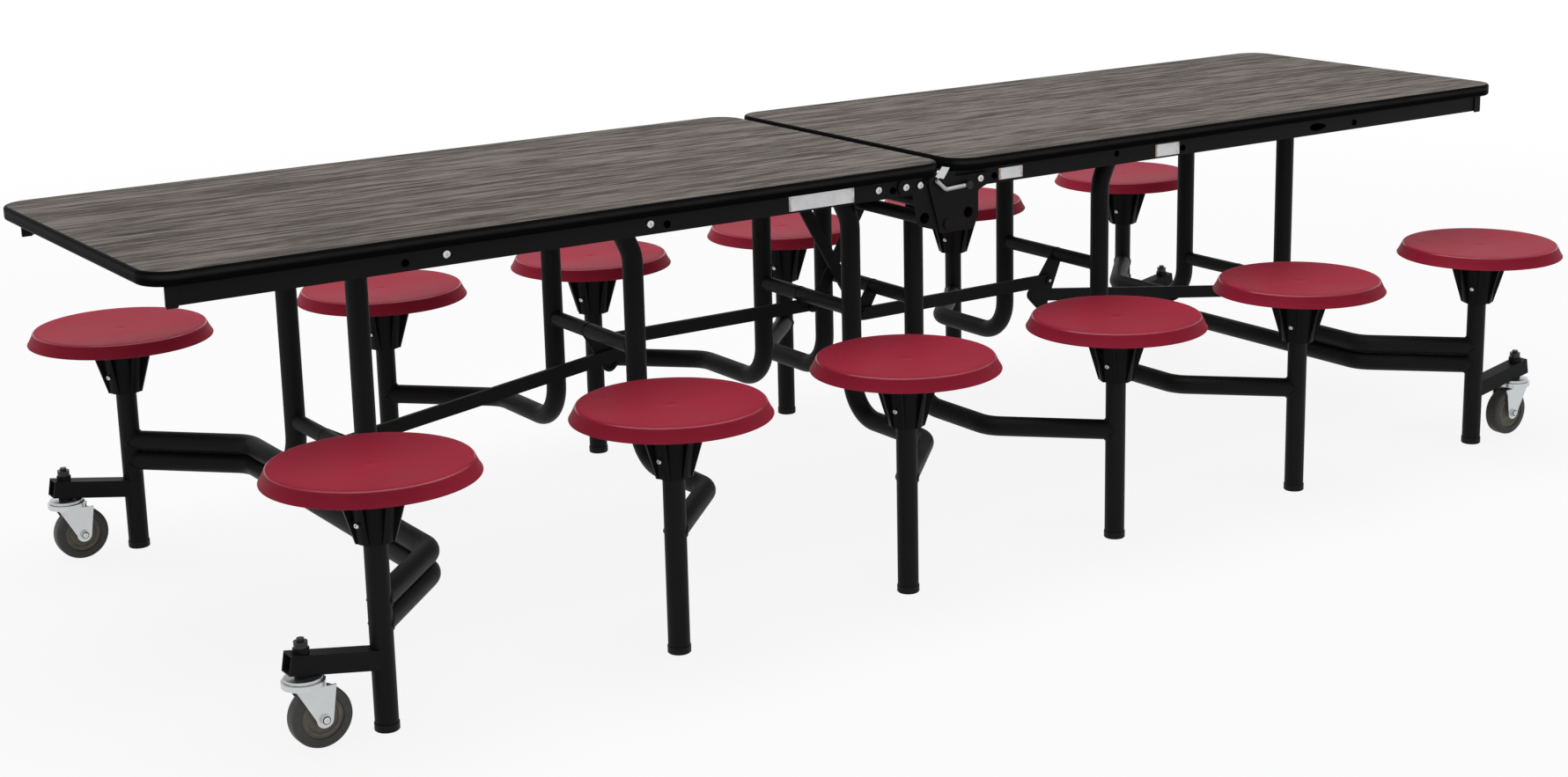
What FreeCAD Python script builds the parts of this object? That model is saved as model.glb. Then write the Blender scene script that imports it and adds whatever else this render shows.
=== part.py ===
"""Mobile cafeteria table: two folding top halves carried by six frames with two stools each."""
import FreeCAD
import Part
import math
import os

# All sizes are in millimetres. X runs along the table, Y to the rear, Z up from the floor.
# One half is drawn with the table's centre at X = 0 and its outer end towards +X.
# The other half is the same half turned by 180 degrees about Z.

# Top
TABLE_WIDTH = 762.0
HALF_LENGTH = 1524.0
CENTRE_GAP = 20.0
TABLE_HEIGHT = 737.0
LAMINATE_THICKNESS = 1.2
BOARD_THICKNESS = 22.8
EDGE_BAND_WIDTH = 6.0
EDGE_BAND_ROUND = 5.0
CORNER_RADIUS = 55.0

# Side rails, one angle section under each long edge
RAIL_HEIGHT = 35.0
RAIL_WALL = 3.0
RAIL_FLANGE = 28.0
RAIL_INSET = 25.0
RAIL_INNER_SETBACK = 6.0
RAIL_OUTER_SETBACK = 34.0

# Frame pivots in the top: two from the table's centre, one from the half's outer end, and their drop
INNER_PIVOT_X = 120.0
MIDDLE_PIVOT_X = 606.0
CASTER_PIVOT_SETBACK = 433.0
PIVOT_DROP = 45.0
PIVOT_ROD_DIAMETER = 12.7
PIVOT_TUBE_DIAMETER = 25.4
PIVOT_ROD_PROUD = 1.5
RUNNING_CLEARANCE = 0.08
SIDE_CLEARANCE = 0.8

# Frame tubes
TUBE_DIAMETER = 38.1
TUBE_WALL = 2.0
HOLLOW_SETBACK = 26.0
HOLLOW_WEB = 1.0
LEG_SPACING = 312.0
LEG_LEAN = (44.0, 44.0, 0.0)
LEAN_DROP = 92.0
LEAN_BEND = 80.0
ELBOW_BEND = 75.0
ARM_BEND = 60.0
ARM_HEIGHT = 214.0
DOUBLE_ARM_GAP = 0.8
CROSS_TUBE_DIAMETER = 28.6
CROSS_TUBE_HEIGHT = (425.0, 425.0, 314.0)

# Stools
STOOL_Y = 562.0
STOOL_OFFSET = 172.0
POST_TOP = 400.0
SEAT_DIAMETER = 342.0
SEAT_TOP = 441.0
SEAT_RIM_HEIGHT = 24.5
SEAT_RIM_SLOPE = 13.0
SEAT_RIM_ROUND = 9.0
SEAT_UNDER_STEP = 2.0
SEAT_FLAT_MARGIN = 6.0
SEAT_DISH = 5.0
SEAT_WALL = 5.0
MOUNT_LENGTH = 118.0
MOUNT_TOP_DIAMETER = 96.0
MOUNT_FOOT_DIAMETER = 62.0
MOUNT_PLATE = 5.0
MOUNT_PLATE_DIAMETER = 134.0
MOUNT_RIBS = 8
MOUNT_RIB_WIDTH = 5.0
MOUNT_RIB_PROUD = 2.0
SLIP_CLEARANCE = 0.15
GLIDE_HEIGHT = 13.0
GLIDE_FLOOR = 6.0
GLIDE_WALL = 1.2
GLIDE_CHAMFER = 1.5

# Link bars that hold the frames upright, and the plates that carry them
BAR_HEIGHT = 26.0
BAR_THICKNESS = 8.0
PLATE_THICKNESS = 4.0
PLATE_Y = 19.0
PLATE_MARGIN = 15.0
BAR_SIDE_GAP = 0.5
PIN_DIAMETER = 10.0
PIN_HEAD_DIAMETER = 17.0
PIN_HEAD_THICKNESS = 3.0
PIN_SIDE = 30.0
OUTER_BAR_RISE = 75.0
SLOT_SIDE_CLEARANCE = 5.5
SLOT_RIM = 6.0
# Drop of the pins below their cross tubes: inner frames, then the caster frame
PIN_DROP = {"left": (28.0, 17.0), "right": (52.0, 46.0)}

# Centre hinge, with drops below the table's surface
HINGE_DROP = 121.0
HINGE_PIN_DIAMETER = 12.0
HINGE_HEAD_DIAMETER = 20.0
HINGE_HEAD_THICKNESS = 4.5
HINGE_PLATE = 4.0
HINGE_LAYER_GAP = 0.4
HINGE_BOSS_RADIUS = 17.0
HINGE_TUBE_X = 50.0
HINGE_TUBE_DROP = 105.0
HINGE_TUBE_DIAMETER = 25.4
HINGE_BOLT_X = (61.0, 94.0)
HINGE_BOLT_DROP = 41.0
HINGE_LOBE_RADIUS = 16.0
WIDE_PLATE_OVERLAP = 46.0
WIDE_PLATE_END = 105.0
WIDE_PLATE_BODY = 74.0
WIDE_PLATE_FOOT = 58.0
WIDE_PLATE_TOE = 16.0
WIDE_PLATE_BEVEL = 22.0
WIDE_PLATE_ABOVE_BOLTS = 8.0
WIDE_PLATE_RAIL_MARGIN = 6.0
WIDE_PLATE_ROUND = 7.0
SPACER_START = 30.0
SPACER_LENGTH = 70.0
SPACER_HEIGHT = 16.0

# Crossing braces between one half's hinge tube and the other half's inner frame
BRACE_PIN_DROP = 81.0
BRACE_WIDTH = 24.0
BRACE_THICKNESS = 6.0

# Latch handle, each point with its drop below the table's surface
LATCH_PIVOT_X = 45.0
LATCH_PIVOT_DROP = 51.0
LATCH_ROD_DIAMETER = 8.0
LATCH_BOSS_DIAMETER = 16.0
LATCH_BOSS_PROUD = 1.5
LATCH_PIN_DIAMETER = 7.0
LATCH_GRIP_X = -8.0
LATCH_GRIP_DROP = 54.0
LATCH_HOOK_X = -30.0
LATCH_HOOK_DROP = 35.0
LATCH_BEND = 10.0
LATCH_REACH = 7.0

# Casters
CASTER_ARM_SIZE = 32.0
CASTER_ARM_WALL = 2.5
CASTER_ARM_RISE = 10.0
CASTER_ARM_LENGTH = 160.0
CASTER_ARM_HEIGHT = 120.0
CASTER_REACH = 133.0
CASTER_SOCKET_DIAMETER = 26.0
CASTER_SOCKET_PROUD = 6.0
CASTER_STEM_DIAMETER = 12.0
CASTER_NUT_DIAMETER = 22.0
CASTER_NUT_HEIGHT = 11.0
CASTER_STEM_PROUD = 5.0
CASTER_RACE_DIAMETER = 60.0
CASTER_RACE_THICKNESS = 5.0
CASTER_RACE_GAP = 0.5
CASTER_CROWN_DIAMETER = 68.0
CASTER_CROWN_THICKNESS = 9.0
CASTER_KING_HEAD = 19.0
CASTER_KING_THICKNESS = 3.0
CASTER_TRAIL = 23.0
WHEEL_DIAMETER = 100.0
WHEEL_WIDTH = 31.0
WHEEL_LIFT = 1.5
WHEEL_ROUND = 8.0
FORK_WALL = 3.0
FORK_SIDE_GAP = 3.0
FORK_TOP_OUTWARD = 26.0
FORK_TOP_INWARD = 28.0
FORK_EAR_INWARD = 45.0
FORK_EAR_STEP = 2.0
FORK_FOOT_RADIUS = 14.0
AXLE_DIAMETER = 9.5
AXLE_HEAD_DIAMETER = 16.0
AXLE_HEAD_THICKNESS = 5.0
WHEEL_BOSS_DIAMETER = 20.0
WHEEL_BOSS_GAP = 0.5

# Extra length of a cutting body past the faces that it opens
CUT_PAST = 1.0

# Values that follow from the ones above
Y_AXIS = FreeCAD.Vector(0, 1, 0)
Z_AXIS = FreeCAD.Vector(0, 0, 1)
ORIGIN = FreeCAD.Vector(0, 0, 0)
TOP_INNER = CENTRE_GAP / 2
TOP_OUTER = TOP_INNER + HALF_LENGTH
BOARD_BOTTOM = TABLE_HEIGHT - LAMINATE_THICKNESS - BOARD_THICKNESS
RAIL_FACE = TABLE_WIDTH / 2 - RAIL_INSET
RAIL_BOTTOM = BOARD_BOTTOM - RAIL_HEIGHT
PIVOT_HEIGHT = TABLE_HEIGHT - PIVOT_DROP
HINGE_HEIGHT = TABLE_HEIGHT - HINGE_DROP
HINGE_TUBE_HEIGHT = TABLE_HEIGHT - HINGE_TUBE_DROP
HINGE_BOLT_HEIGHT = TABLE_HEIGHT - HINGE_BOLT_DROP
BRACE_PIN_HEIGHT = TABLE_HEIGHT - BRACE_PIN_DROP
LATCH_PIVOT_HEIGHT = TABLE_HEIGHT - LATCH_PIVOT_DROP
LATCH_GRIP = (LATCH_GRIP_X, TABLE_HEIGHT - LATCH_GRIP_DROP)
LATCH_HOOK = (LATCH_HOOK_X, TABLE_HEIGHT - LATCH_HOOK_DROP)
PIVOT_X = (INNER_PIVOT_X, MIDDLE_PIVOT_X, TOP_OUTER - CASTER_PIVOT_SETBACK)
LEG_Y = LEG_SPACING / 2
LEG_X = tuple(pivot - lean for pivot, lean in zip(PIVOT_X, LEG_LEAN))
STOOL_X = tuple(leg + STOOL_OFFSET for leg in LEG_X)
SEAT_FLAT_DIAMETER = MOUNT_PLATE_DIAMETER + 2 * SEAT_FLAT_MARGIN
PITCH_OUTER = PIVOT_X[2] - PIVOT_X[1]
PIVOT_ABOVE_HINGE = PIVOT_HEIGHT - HINGE_HEIGHT
PIN_RADIUS = PIN_DIAMETER / 2
CASTER_X = STOOL_X[2] + CASTER_REACH
CASTER_SLOPE = math.tan(math.radians(CASTER_ARM_RISE))
CASTER_ARM_HALF = CASTER_ARM_SIZE / 2 / math.cos(math.radians(CASTER_ARM_RISE))
CASTER_SOCKET_BOTTOM = (CASTER_ARM_HEIGHT - CASTER_ARM_HALF - CASTER_RACE_GAP
                        + (CASTER_REACH - CASTER_RACE_DIAMETER / 2) * CASTER_SLOPE)
CASTER_SOCKET_TOP = (CASTER_ARM_HEIGHT + CASTER_ARM_HALF + CASTER_SOCKET_PROUD
                     + (CASTER_REACH + CASTER_SOCKET_DIAMETER / 2) * CASTER_SLOPE)
AXLE_HEIGHT = WHEEL_DIAMETER / 2 + WHEEL_LIFT
FRAMES = ("inner", "middle", "caster")


def vec(x, y, z):
    return FreeCAD.Vector(x, y, z)


def box(x0, x1, y0, y1, z0, z1):
    return Part.makeBox(x1 - x0, y1 - y0, z1 - z0, vec(x0, y0, z0))


def cylinder_y(x, z, radius, y0, y1):
    return Part.makeCylinder(radius, y1 - y0, vec(x, y0, z), Y_AXIS)


def cylinder_z(x, y, radius, z0, z1):
    return Part.makeCylinder(radius, z1 - z0, vec(x, y, z0), Z_AXIS)


def fused(solids):
    return solids[0].multiFuse(solids[1:]) if len(solids) > 1 else solids[0]


def rounded_slab(inset, radius, z0, z1):
    """A slab over the half's outline, set in by inset, with rounded corners."""
    half_width = TABLE_WIDTH / 2 - inset
    slab = box(TOP_INNER + inset, TOP_OUTER - inset, -half_width, half_width, z0, z1)
    upright = [e for e in slab.Edges if abs(e.tangentAt(e.FirstParameter).z) > 0.9]
    return slab.makeFillet(radius, upright)


def link_plate(start, end, radius, y0, y1):
    """A flat bar with round ends between two points of the X Z plane."""
    dx = end[0] - start[0]
    dz = end[1] - start[1]
    length = math.hypot(dx, dz)
    side_x = -dz / length * radius
    side_z = dx / length * radius
    corners = [
        vec(start[0] + side_x, y0, start[1] + side_z),
        vec(end[0] + side_x, y0, end[1] + side_z),
        vec(end[0] - side_x, y0, end[1] - side_z),
        vec(start[0] - side_x, y0, start[1] - side_z),
    ]
    web = Part.Face(Part.makePolygon(corners + corners[:1])).extrude(vec(0, y1 - y0, 0))
    ends = [cylinder_y(x, z, radius, y0, y1) for x, z in (start, end)]
    return fused([web] + ends).removeSplitter()


def outline_plate(points, y0, y1):
    corners = [vec(x, y0, z) for x, z in points]
    return Part.Face(Part.makePolygon(corners + corners[:1])).extrude(vec(0, y1 - y0, 0))


def straight_runs(points, bends):
    """Start and end of each straight run of a route whose inner points are rounded by the bends."""
    runs = []
    start = points[0]
    for index in range(1, len(points) - 1):
        corner = points[index]
        before = (corner - points[index - 1]).normalize()
        after = (points[index + 1] - corner).normalize()
        setback = bends[index - 1] * math.tan(before.getAngle(after) / 2)
        runs.append((start, corner - before * setback))
        start = corner + after * setback
    runs.append((start, points[-1]))
    return runs


def bend_sweep(points, bends, index, radius, start, margin):
    """The round bar of one bend, short of its two ends by margin."""
    before = (points[index + 1] - points[index]).normalize()
    after = (points[index + 2] - points[index + 1]).normalize()
    inward = (after - before * after.dot(before)).normalize()
    centre = start + inward * bends[index]
    axis = before.cross(after)
    spare = math.degrees(margin / bends[index])
    disc = Part.Face(Part.Wire(Part.makeCircle(radius, start, before)))
    disc.rotate(centre, axis, spare)
    return disc.revolve(centre, axis, math.degrees(before.getAngle(after)) - 2 * spare)


def bent_bar(points, radius, bends):
    """A round bar along straight runs that are joined by tangent bends."""
    pieces = []
    for index, (start, end) in enumerate(straight_runs(points, bends)):
        pieces.append(Part.makeCylinder(radius, (end - start).Length, start, end - start))
        if index < len(bends):
            pieces.append(bend_sweep(points, bends, index, radius, end, 0))
    return fused(pieces).removeSplitter()


def tube_hollows(points, radius, bends):
    """The hollow inside each run and bend, closed at the welded ends and by a thin web between them."""
    hollows = []
    runs = straight_runs(points, bends)
    for index, (start, end) in enumerate(runs):
        along = (end - start).normalize()
        first = HOLLOW_SETBACK if index == 0 else HOLLOW_WEB
        last = HOLLOW_SETBACK if index == len(bends) else HOLLOW_WEB
        length = (end - start).Length - first - last
        hollows.append(Part.makeCylinder(radius, length, start + along * first, along))
        if index < len(bends):
            hollows.append(bend_sweep(points, bends, index, radius, end, HOLLOW_WEB))
    return hollows


def turned(shape):
    """The same piece on the other half."""
    copy = shape.copy()
    copy.rotate(ORIGIN, Z_AXIS, 180)
    return copy


def save(name, solids):
    shape = solids[0] if len(solids) == 1 else Part.makeCompound(solids)
    shape.exportStep(os.path.join("parts", name + ".step"))


# Top half

def laminate():
    return rounded_slab(EDGE_BAND_WIDTH, CORNER_RADIUS - EDGE_BAND_WIDTH,
                        TABLE_HEIGHT - LAMINATE_THICKNESS, TABLE_HEIGHT)


def board():
    return rounded_slab(EDGE_BAND_WIDTH, CORNER_RADIUS - EDGE_BAND_WIDTH,
                        BOARD_BOTTOM, TABLE_HEIGHT - LAMINATE_THICKNESS)


def edge_band():
    outer = rounded_slab(0, CORNER_RADIUS, BOARD_BOTTOM, TABLE_HEIGHT)
    flat = [e for e in outer.Edges if e.BoundBox.ZLength < 1e-6]
    outer = outer.makeFillet(EDGE_BAND_ROUND, flat)
    core = rounded_slab(EDGE_BAND_WIDTH, CORNER_RADIUS - EDGE_BAND_WIDTH, BOARD_BOTTOM, TABLE_HEIGHT)
    return outer.cut(core)


def side_rail(side):
    inner = TOP_INNER + RAIL_INNER_SETBACK
    outer = TOP_OUTER - RAIL_OUTER_SETBACK
    web_y = sorted((side * RAIL_FACE, side * (RAIL_FACE - RAIL_WALL)))
    flange_y = sorted((side * (RAIL_FACE - RAIL_WALL), side * (RAIL_FACE - RAIL_FLANGE)))
    web = box(inner, outer, web_y[0], web_y[1], RAIL_BOTTOM, BOARD_BOTTOM)
    flange = box(inner, outer, flange_y[0], flange_y[1], BOARD_BOTTOM - RAIL_WALL, BOARD_BOTTOM)
    rail = web.fuse(flange).removeSplitter()
    hole = PIVOT_ROD_DIAMETER / 2 + RUNNING_CLEARANCE
    for x in PIVOT_X:
        rail = rail.cut(cylinder_y(x, PIVOT_HEIGHT, hole, web_y[0] - CUT_PAST, web_y[1] + CUT_PAST))
    return rail


def pivot_rods():
    reach = RAIL_FACE + PIVOT_ROD_PROUD
    return [cylinder_y(x, PIVOT_HEIGHT, PIVOT_ROD_DIAMETER / 2, -reach, reach) for x in PIVOT_X]


# Places of the link pins on one half

def inner_pin(half, index):
    """Pin of the inner link bar on the inner or middle frame."""
    return (LEG_X[index] - PIN_SIDE, CROSS_TUBE_HEIGHT[index] - PIN_DROP[half][0])


def caster_pin(half):
    return (LEG_X[2] - PIN_SIDE, CROSS_TUBE_HEIGHT[2] - PIN_DROP[half][1])


def outer_pin(half):
    """Where the outer link bar meets the middle frame, upright and folded alike."""
    x, z = caster_pin(half)
    return (x - PITCH_OUTER - OUTER_BAR_RISE, z + OUTER_BAR_RISE)


def outer_bar_slack():
    """How far the outer link bar's end runs along the middle frame's slot at mid travel."""
    rest = math.hypot(PITCH_OUTER + OUTER_BAR_RISE, OUTER_BAR_RISE)
    middle = PITCH_OUTER + OUTER_BAR_RISE * math.sqrt(2)
    return middle - rest


def brace_pin(other_half):
    """Upper pin of the brace that ends at the other half's inner frame, upright and folded alike."""
    pin_x, pin_z = inner_pin(other_half, 0)
    x = -pin_x
    z = pin_z - HINGE_HEIGHT
    folded_x = x + PIVOT_X[0] - PIVOT_ABOVE_HINGE
    folded_z = z - PIVOT_ABOVE_HINGE - PIVOT_X[0]
    rise = BRACE_PIN_HEIGHT - HINGE_HEIGHT
    grown = folded_x ** 2 + folded_z ** 2 - x ** 2 - z ** 2
    reach = (grown - 2 * rise * (folded_x - z)) / (-2 * (folded_z + x))
    return (reach, BRACE_PIN_HEIGHT)


# Frames

def leg_path(index, side):
    lean = vec(PIVOT_X[index], side * LEG_Y, PIVOT_HEIGHT)
    knee = vec(LEG_X[index], side * LEG_Y, PIVOT_HEIGHT - LEAN_DROP)
    elbow = vec(LEG_X[index], side * LEG_Y, ARM_HEIGHT)
    turn = vec(LEG_X[index], side * (STOOL_Y - STOOL_OFFSET), ARM_HEIGHT)
    post = vec(STOOL_X[index], side * STOOL_Y, ARM_HEIGHT)
    if LEG_LEAN[index] == 0:
        return [lean, elbow, turn, post], [ELBOW_BEND, ARM_BEND]
    return [lean, knee, elbow, turn, post], [LEAN_BEND, ELBOW_BEND, ARM_BEND]


def lower_arm_path():
    """The second tube of a caster frame, from one post to the other below the arms."""
    z = ARM_HEIGHT - TUBE_DIAMETER - DOUBLE_ARM_GAP
    x = LEG_X[2]
    turn = STOOL_Y - STOOL_OFFSET
    points = [vec(STOOL_X[2], -STOOL_Y, z), vec(x, -turn, z), vec(x, turn, z), vec(STOOL_X[2], STOOL_Y, z)]
    return points, [ARM_BEND, ARM_BEND]


def frame_tubes(index):
    """Legs with arms, stool posts and cross tube at full size, and the hollows inside them."""
    radius = TUBE_DIAMETER / 2
    paths = [leg_path(index, side) for side in (-1, 1)]
    if FRAMES[index] == "caster":
        paths.append(lower_arm_path())
    height = CROSS_TUBE_HEIGHT[index]
    cross = [vec(LEG_X[index], side * LEG_Y, height) for side in (-1, 1)]
    solids = [bent_bar(cross, CROSS_TUBE_DIAMETER / 2, [])]
    hollows = tube_hollows(cross, CROSS_TUBE_DIAMETER / 2 - TUBE_WALL, [])
    for points, bends in paths:
        solids.append(bent_bar(points, radius, bends))
        hollows += tube_hollows(points, radius - TUBE_WALL, bends)
    for side in (-1, 1):
        place = (STOOL_X[index], side * STOOL_Y)
        solids.append(cylinder_z(*place, radius, GLIDE_FLOOR, POST_TOP))
        hollows.append(cylinder_z(*place, radius - TUBE_WALL, GLIDE_FLOOR, POST_TOP))
    return solids, hollows


def pin_plate(index, pins):
    """Plate on the cross tube that reaches to each pin."""
    centre = (LEG_X[index], CROSS_TUBE_HEIGHT[index])
    low = -PLATE_Y - PLATE_THICKNESS / 2
    high = -PLATE_Y + PLATE_THICKNESS / 2
    return fused([link_plate(centre, pin, PLATE_MARGIN, low, high) for pin in pins])


def stud(pin, toward):
    """Pin with a head on the plate, towards -Y or +Y, for a bar of full thickness."""
    face = -PLATE_Y + toward * (PLATE_THICKNESS / 2 + BAR_THICKNESS + 2 * BAR_SIDE_GAP)
    tip = face + toward * PIN_HEAD_THICKNESS
    shank = cylinder_y(pin[0], pin[1], PIN_RADIUS, min(-PLATE_Y, face), max(-PLATE_Y, face))
    head = cylinder_y(pin[0], pin[1], PIN_HEAD_DIAMETER / 2, min(face, tip), max(face, tip))
    return shank.fuse(head)


def caster_arm(side):
    """Square tube that rises from the post to the caster, its hollow, and the stem's bore in its socket."""
    def beam(size, start, length):
        bar = box(start, length, -size / 2, size / 2, -size / 2, size / 2)
        bar.rotate(ORIGIN, Y_AXIS, -CASTER_ARM_RISE)
        bar.translate(vec(STOOL_X[2], side * STOOL_Y, CASTER_ARM_HEIGHT))
        return bar
    outer = beam(CASTER_ARM_SIZE, 0, CASTER_ARM_LENGTH)
    hollow_start = TUBE_DIAMETER / 2 + CASTER_ARM_WALL
    inner = beam(CASTER_ARM_SIZE - 2 * CASTER_ARM_WALL, hollow_start, CASTER_ARM_LENGTH + CUT_PAST)
    socket = cylinder_z(CASTER_X, side * STOOL_Y, CASTER_SOCKET_DIAMETER / 2,
                        CASTER_SOCKET_BOTTOM, CASTER_SOCKET_TOP)
    bore = cylinder_z(CASTER_X, side * STOOL_Y, CASTER_STEM_DIAMETER / 2 + SLIP_CLEARANCE,
                      CASTER_SOCKET_BOTTOM - CUT_PAST, CASTER_SOCKET_TOP + CUT_PAST)
    return outer.fuse(socket), inner.cut(socket), bore


def frame(half, index):
    """One welded frame with its pivot tube, link plate and studs."""
    kind = FRAMES[index]
    reach = RAIL_FACE - RAIL_WALL - SIDE_CLEARANCE
    pieces, cuts = frame_tubes(index)
    pieces.append(cylinder_y(PIVOT_X[index], PIVOT_HEIGHT, PIVOT_TUBE_DIAMETER / 2, -reach, reach))
    if kind == "caster":
        pieces += [pin_plate(index, [caster_pin(half)]), stud(caster_pin(half), 1)]
        for side in (-1, 1):
            arm, hollow, stem_bore = caster_arm(side)
            pieces.append(arm)
            cuts += [hollow, stem_bore]
    else:
        pins = [inner_pin(half, index)]
        pieces += [pin_plate(index, pins), stud(pins[0], -1)]
    if kind == "middle":
        x, z = outer_pin(half)
        run = outer_bar_slack() / math.sqrt(2)
        slot_end = (x + run, z - run)
        slot_radius = PIN_RADIUS + SLOT_SIDE_CLEARANCE
        low = -PLATE_Y - PLATE_THICKNESS / 2
        high = -PLATE_Y + PLATE_THICKNESS / 2
        rim = link_plate((x, z), slot_end, slot_radius + SLOT_RIM, low, high)
        pieces += [pin_plate(index, [(x, z), slot_end]), rim]
        cuts.append(link_plate((x, z), slot_end, slot_radius, low - CUT_PAST, high + CUT_PAST))
    bore = PIVOT_ROD_DIAMETER / 2 + RUNNING_CLEARANCE
    past = reach + CUT_PAST
    cuts.append(cylinder_y(PIVOT_X[index], PIVOT_HEIGHT, bore, -past, past))
    weldment = fused(pieces)
    for cut in cuts:
        weldment = weldment.cut(cut)
    return weldment.removeSplitter()


# Stools

def seat(index, side):
    radius = SEAT_DIAMETER / 2
    rim = SEAT_TOP - SEAT_RIM_HEIGHT
    shoulder = radius - SEAT_RIM_SLOPE
    centre = SEAT_TOP - SEAT_DISH

    def arc(a, b, c):
        return Part.Arc(vec(a[0], 0, a[1]), vec(b[0], 0, b[1]), vec(c[0], 0, c[1])).toShape()

    def line(a, b):
        return Part.makeLine(vec(a[0], 0, a[1]), vec(b[0], 0, b[1]))

    turn = math.atan2(SEAT_RIM_HEIGHT, SEAT_RIM_SLOPE)
    setback = SEAT_RIM_ROUND * math.tan(turn / 2)
    edge = shoulder - setback
    round_mid = (edge + SEAT_RIM_ROUND * math.sin(turn / 2),
                 SEAT_TOP - SEAT_RIM_ROUND * (1 - math.cos(turn / 2)))
    round_end = (shoulder + setback * math.cos(turn), SEAT_TOP - setback * math.sin(turn))
    dish_radius = (edge ** 2 + SEAT_DISH ** 2) / (2 * SEAT_DISH)
    dish_mid = centre + dish_radius - math.sqrt(dish_radius ** 2 - (edge / 2) ** 2)
    dish = ((0, centre), (edge / 2, dish_mid), (edge, SEAT_TOP))
    under = ((shoulder - SEAT_WALL, SEAT_TOP - SEAT_WALL - SEAT_UNDER_STEP),
             (SEAT_FLAT_DIAMETER / 2, centre - SEAT_WALL), (0, centre - SEAT_WALL))
    profile = [
        arc(*dish),
        arc(dish[2], round_mid, round_end),
        line(round_end, (radius, rim)),
        line((radius, rim), (radius - SEAT_WALL, rim)),
        line((radius - SEAT_WALL, rim), under[0]),
        line(under[0], under[1]),
        line(under[1], under[2]),
        line(under[2], dish[0]),
    ]
    solid = Part.Face(Part.Wire(profile)).revolve(ORIGIN, Z_AXIS, 360)
    solid.translate(vec(STOOL_X[index], side * STOOL_Y, 0))
    return solid


def seat_mount(index, side):
    x = STOOL_X[index]
    y = side * STOOL_Y
    top = SEAT_TOP - SEAT_DISH - SEAT_WALL
    foot = top - MOUNT_LENGTH
    under_plate = top - MOUNT_PLATE
    height = under_plate - foot
    cone = Part.makeCone(MOUNT_FOOT_DIAMETER / 2, MOUNT_TOP_DIAMETER / 2, height, vec(x, y, foot), Z_AXIS)
    plate = cylinder_z(x, y, MOUNT_PLATE_DIAMETER / 2, under_plate, top)
    pieces = [cone, plate]
    for number in range(MOUNT_RIBS):
        inside = MOUNT_FOOT_DIAMETER / 4
        outline = [(inside, foot), (MOUNT_FOOT_DIAMETER / 2 + MOUNT_RIB_PROUD, foot),
                   (MOUNT_PLATE_DIAMETER / 2, under_plate), (inside, under_plate)]
        rib = outline_plate(outline, -MOUNT_RIB_WIDTH / 2, MOUNT_RIB_WIDTH / 2)
        rib.rotate(ORIGIN, Z_AXIS, number * 360 / MOUNT_RIBS)
        rib.translate(vec(x, y, 0))
        pieces.append(rib)
    socket = cylinder_z(x, y, TUBE_DIAMETER / 2 + SLIP_CLEARANCE, foot - CUT_PAST, POST_TOP)
    return fused(pieces).cut(socket).removeSplitter()


def glide(index, side):
    x = STOOL_X[index]
    y = side * STOOL_Y
    outer = cylinder_z(x, y, TUBE_DIAMETER / 2 + GLIDE_WALL, 0, GLIDE_HEIGHT)
    outer = outer.makeChamfer(GLIDE_CHAMFER, [e for e in outer.Edges if e.BoundBox.ZMax < 1e-3])
    socket = cylinder_z(x, y, TUBE_DIAMETER / 2 + SLIP_CLEARANCE, GLIDE_FLOOR, GLIDE_HEIGHT + CUT_PAST)
    return outer.cut(socket)


# Link bars and braces

def pin_hole(x, z, low, thickness):
    return cylinder_y(x, z, PIN_RADIUS + RUNNING_CLEARANCE, low - CUT_PAST, low + thickness + CUT_PAST)


def inner_link_bar(half):
    low = -PLATE_Y - PLATE_THICKNESS / 2 - BAR_SIDE_GAP - BAR_THICKNESS
    pins = [inner_pin(half, 0), inner_pin(half, 1)]
    bar = link_plate(pins[0], pins[1], BAR_HEIGHT / 2, low, low + BAR_THICKNESS)
    for x, z in pins:
        bar = bar.cut(pin_hole(x, z, low, BAR_THICKNESS))
    return bar


def outer_link_bar(half):
    low = -PLATE_Y + PLATE_THICKNESS / 2 + BAR_SIDE_GAP
    pins = [outer_pin(half), caster_pin(half)]
    bar = link_plate(pins[0], pins[1], BAR_HEIGHT / 2, low, low + BAR_THICKNESS)
    x, z = pins[1]
    bar = bar.cut(pin_hole(x, z, low, BAR_THICKNESS))
    x, z = pins[0]
    end_stud = cylinder_y(x, z, PIN_RADIUS, -PLATE_Y - PLATE_THICKNESS / 2, low + BAR_THICKNESS)
    return bar.fuse(end_stud).removeSplitter()


def brace(other_half):
    """Flat bar from this half's hinge tube to the other half's inner frame."""
    low = PLATE_Y - PLATE_THICKNESS / 2 - BAR_SIDE_GAP - BRACE_THICKNESS
    upper = brace_pin(other_half)
    x, z = inner_pin(other_half, 0)
    bar = link_plate(upper, (-x, z), BRACE_WIDTH / 2, low, low + BRACE_THICKNESS)
    hole = pin_hole(upper[0], upper[1], low, BRACE_THICKNESS)
    rivet = cylinder_y(-x, z, PIN_HEAD_DIAMETER / 2, low - PIN_HEAD_THICKNESS, low)
    return bar.cut(hole).fuse(rivet).removeSplitter()


# Centre hinge

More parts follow.
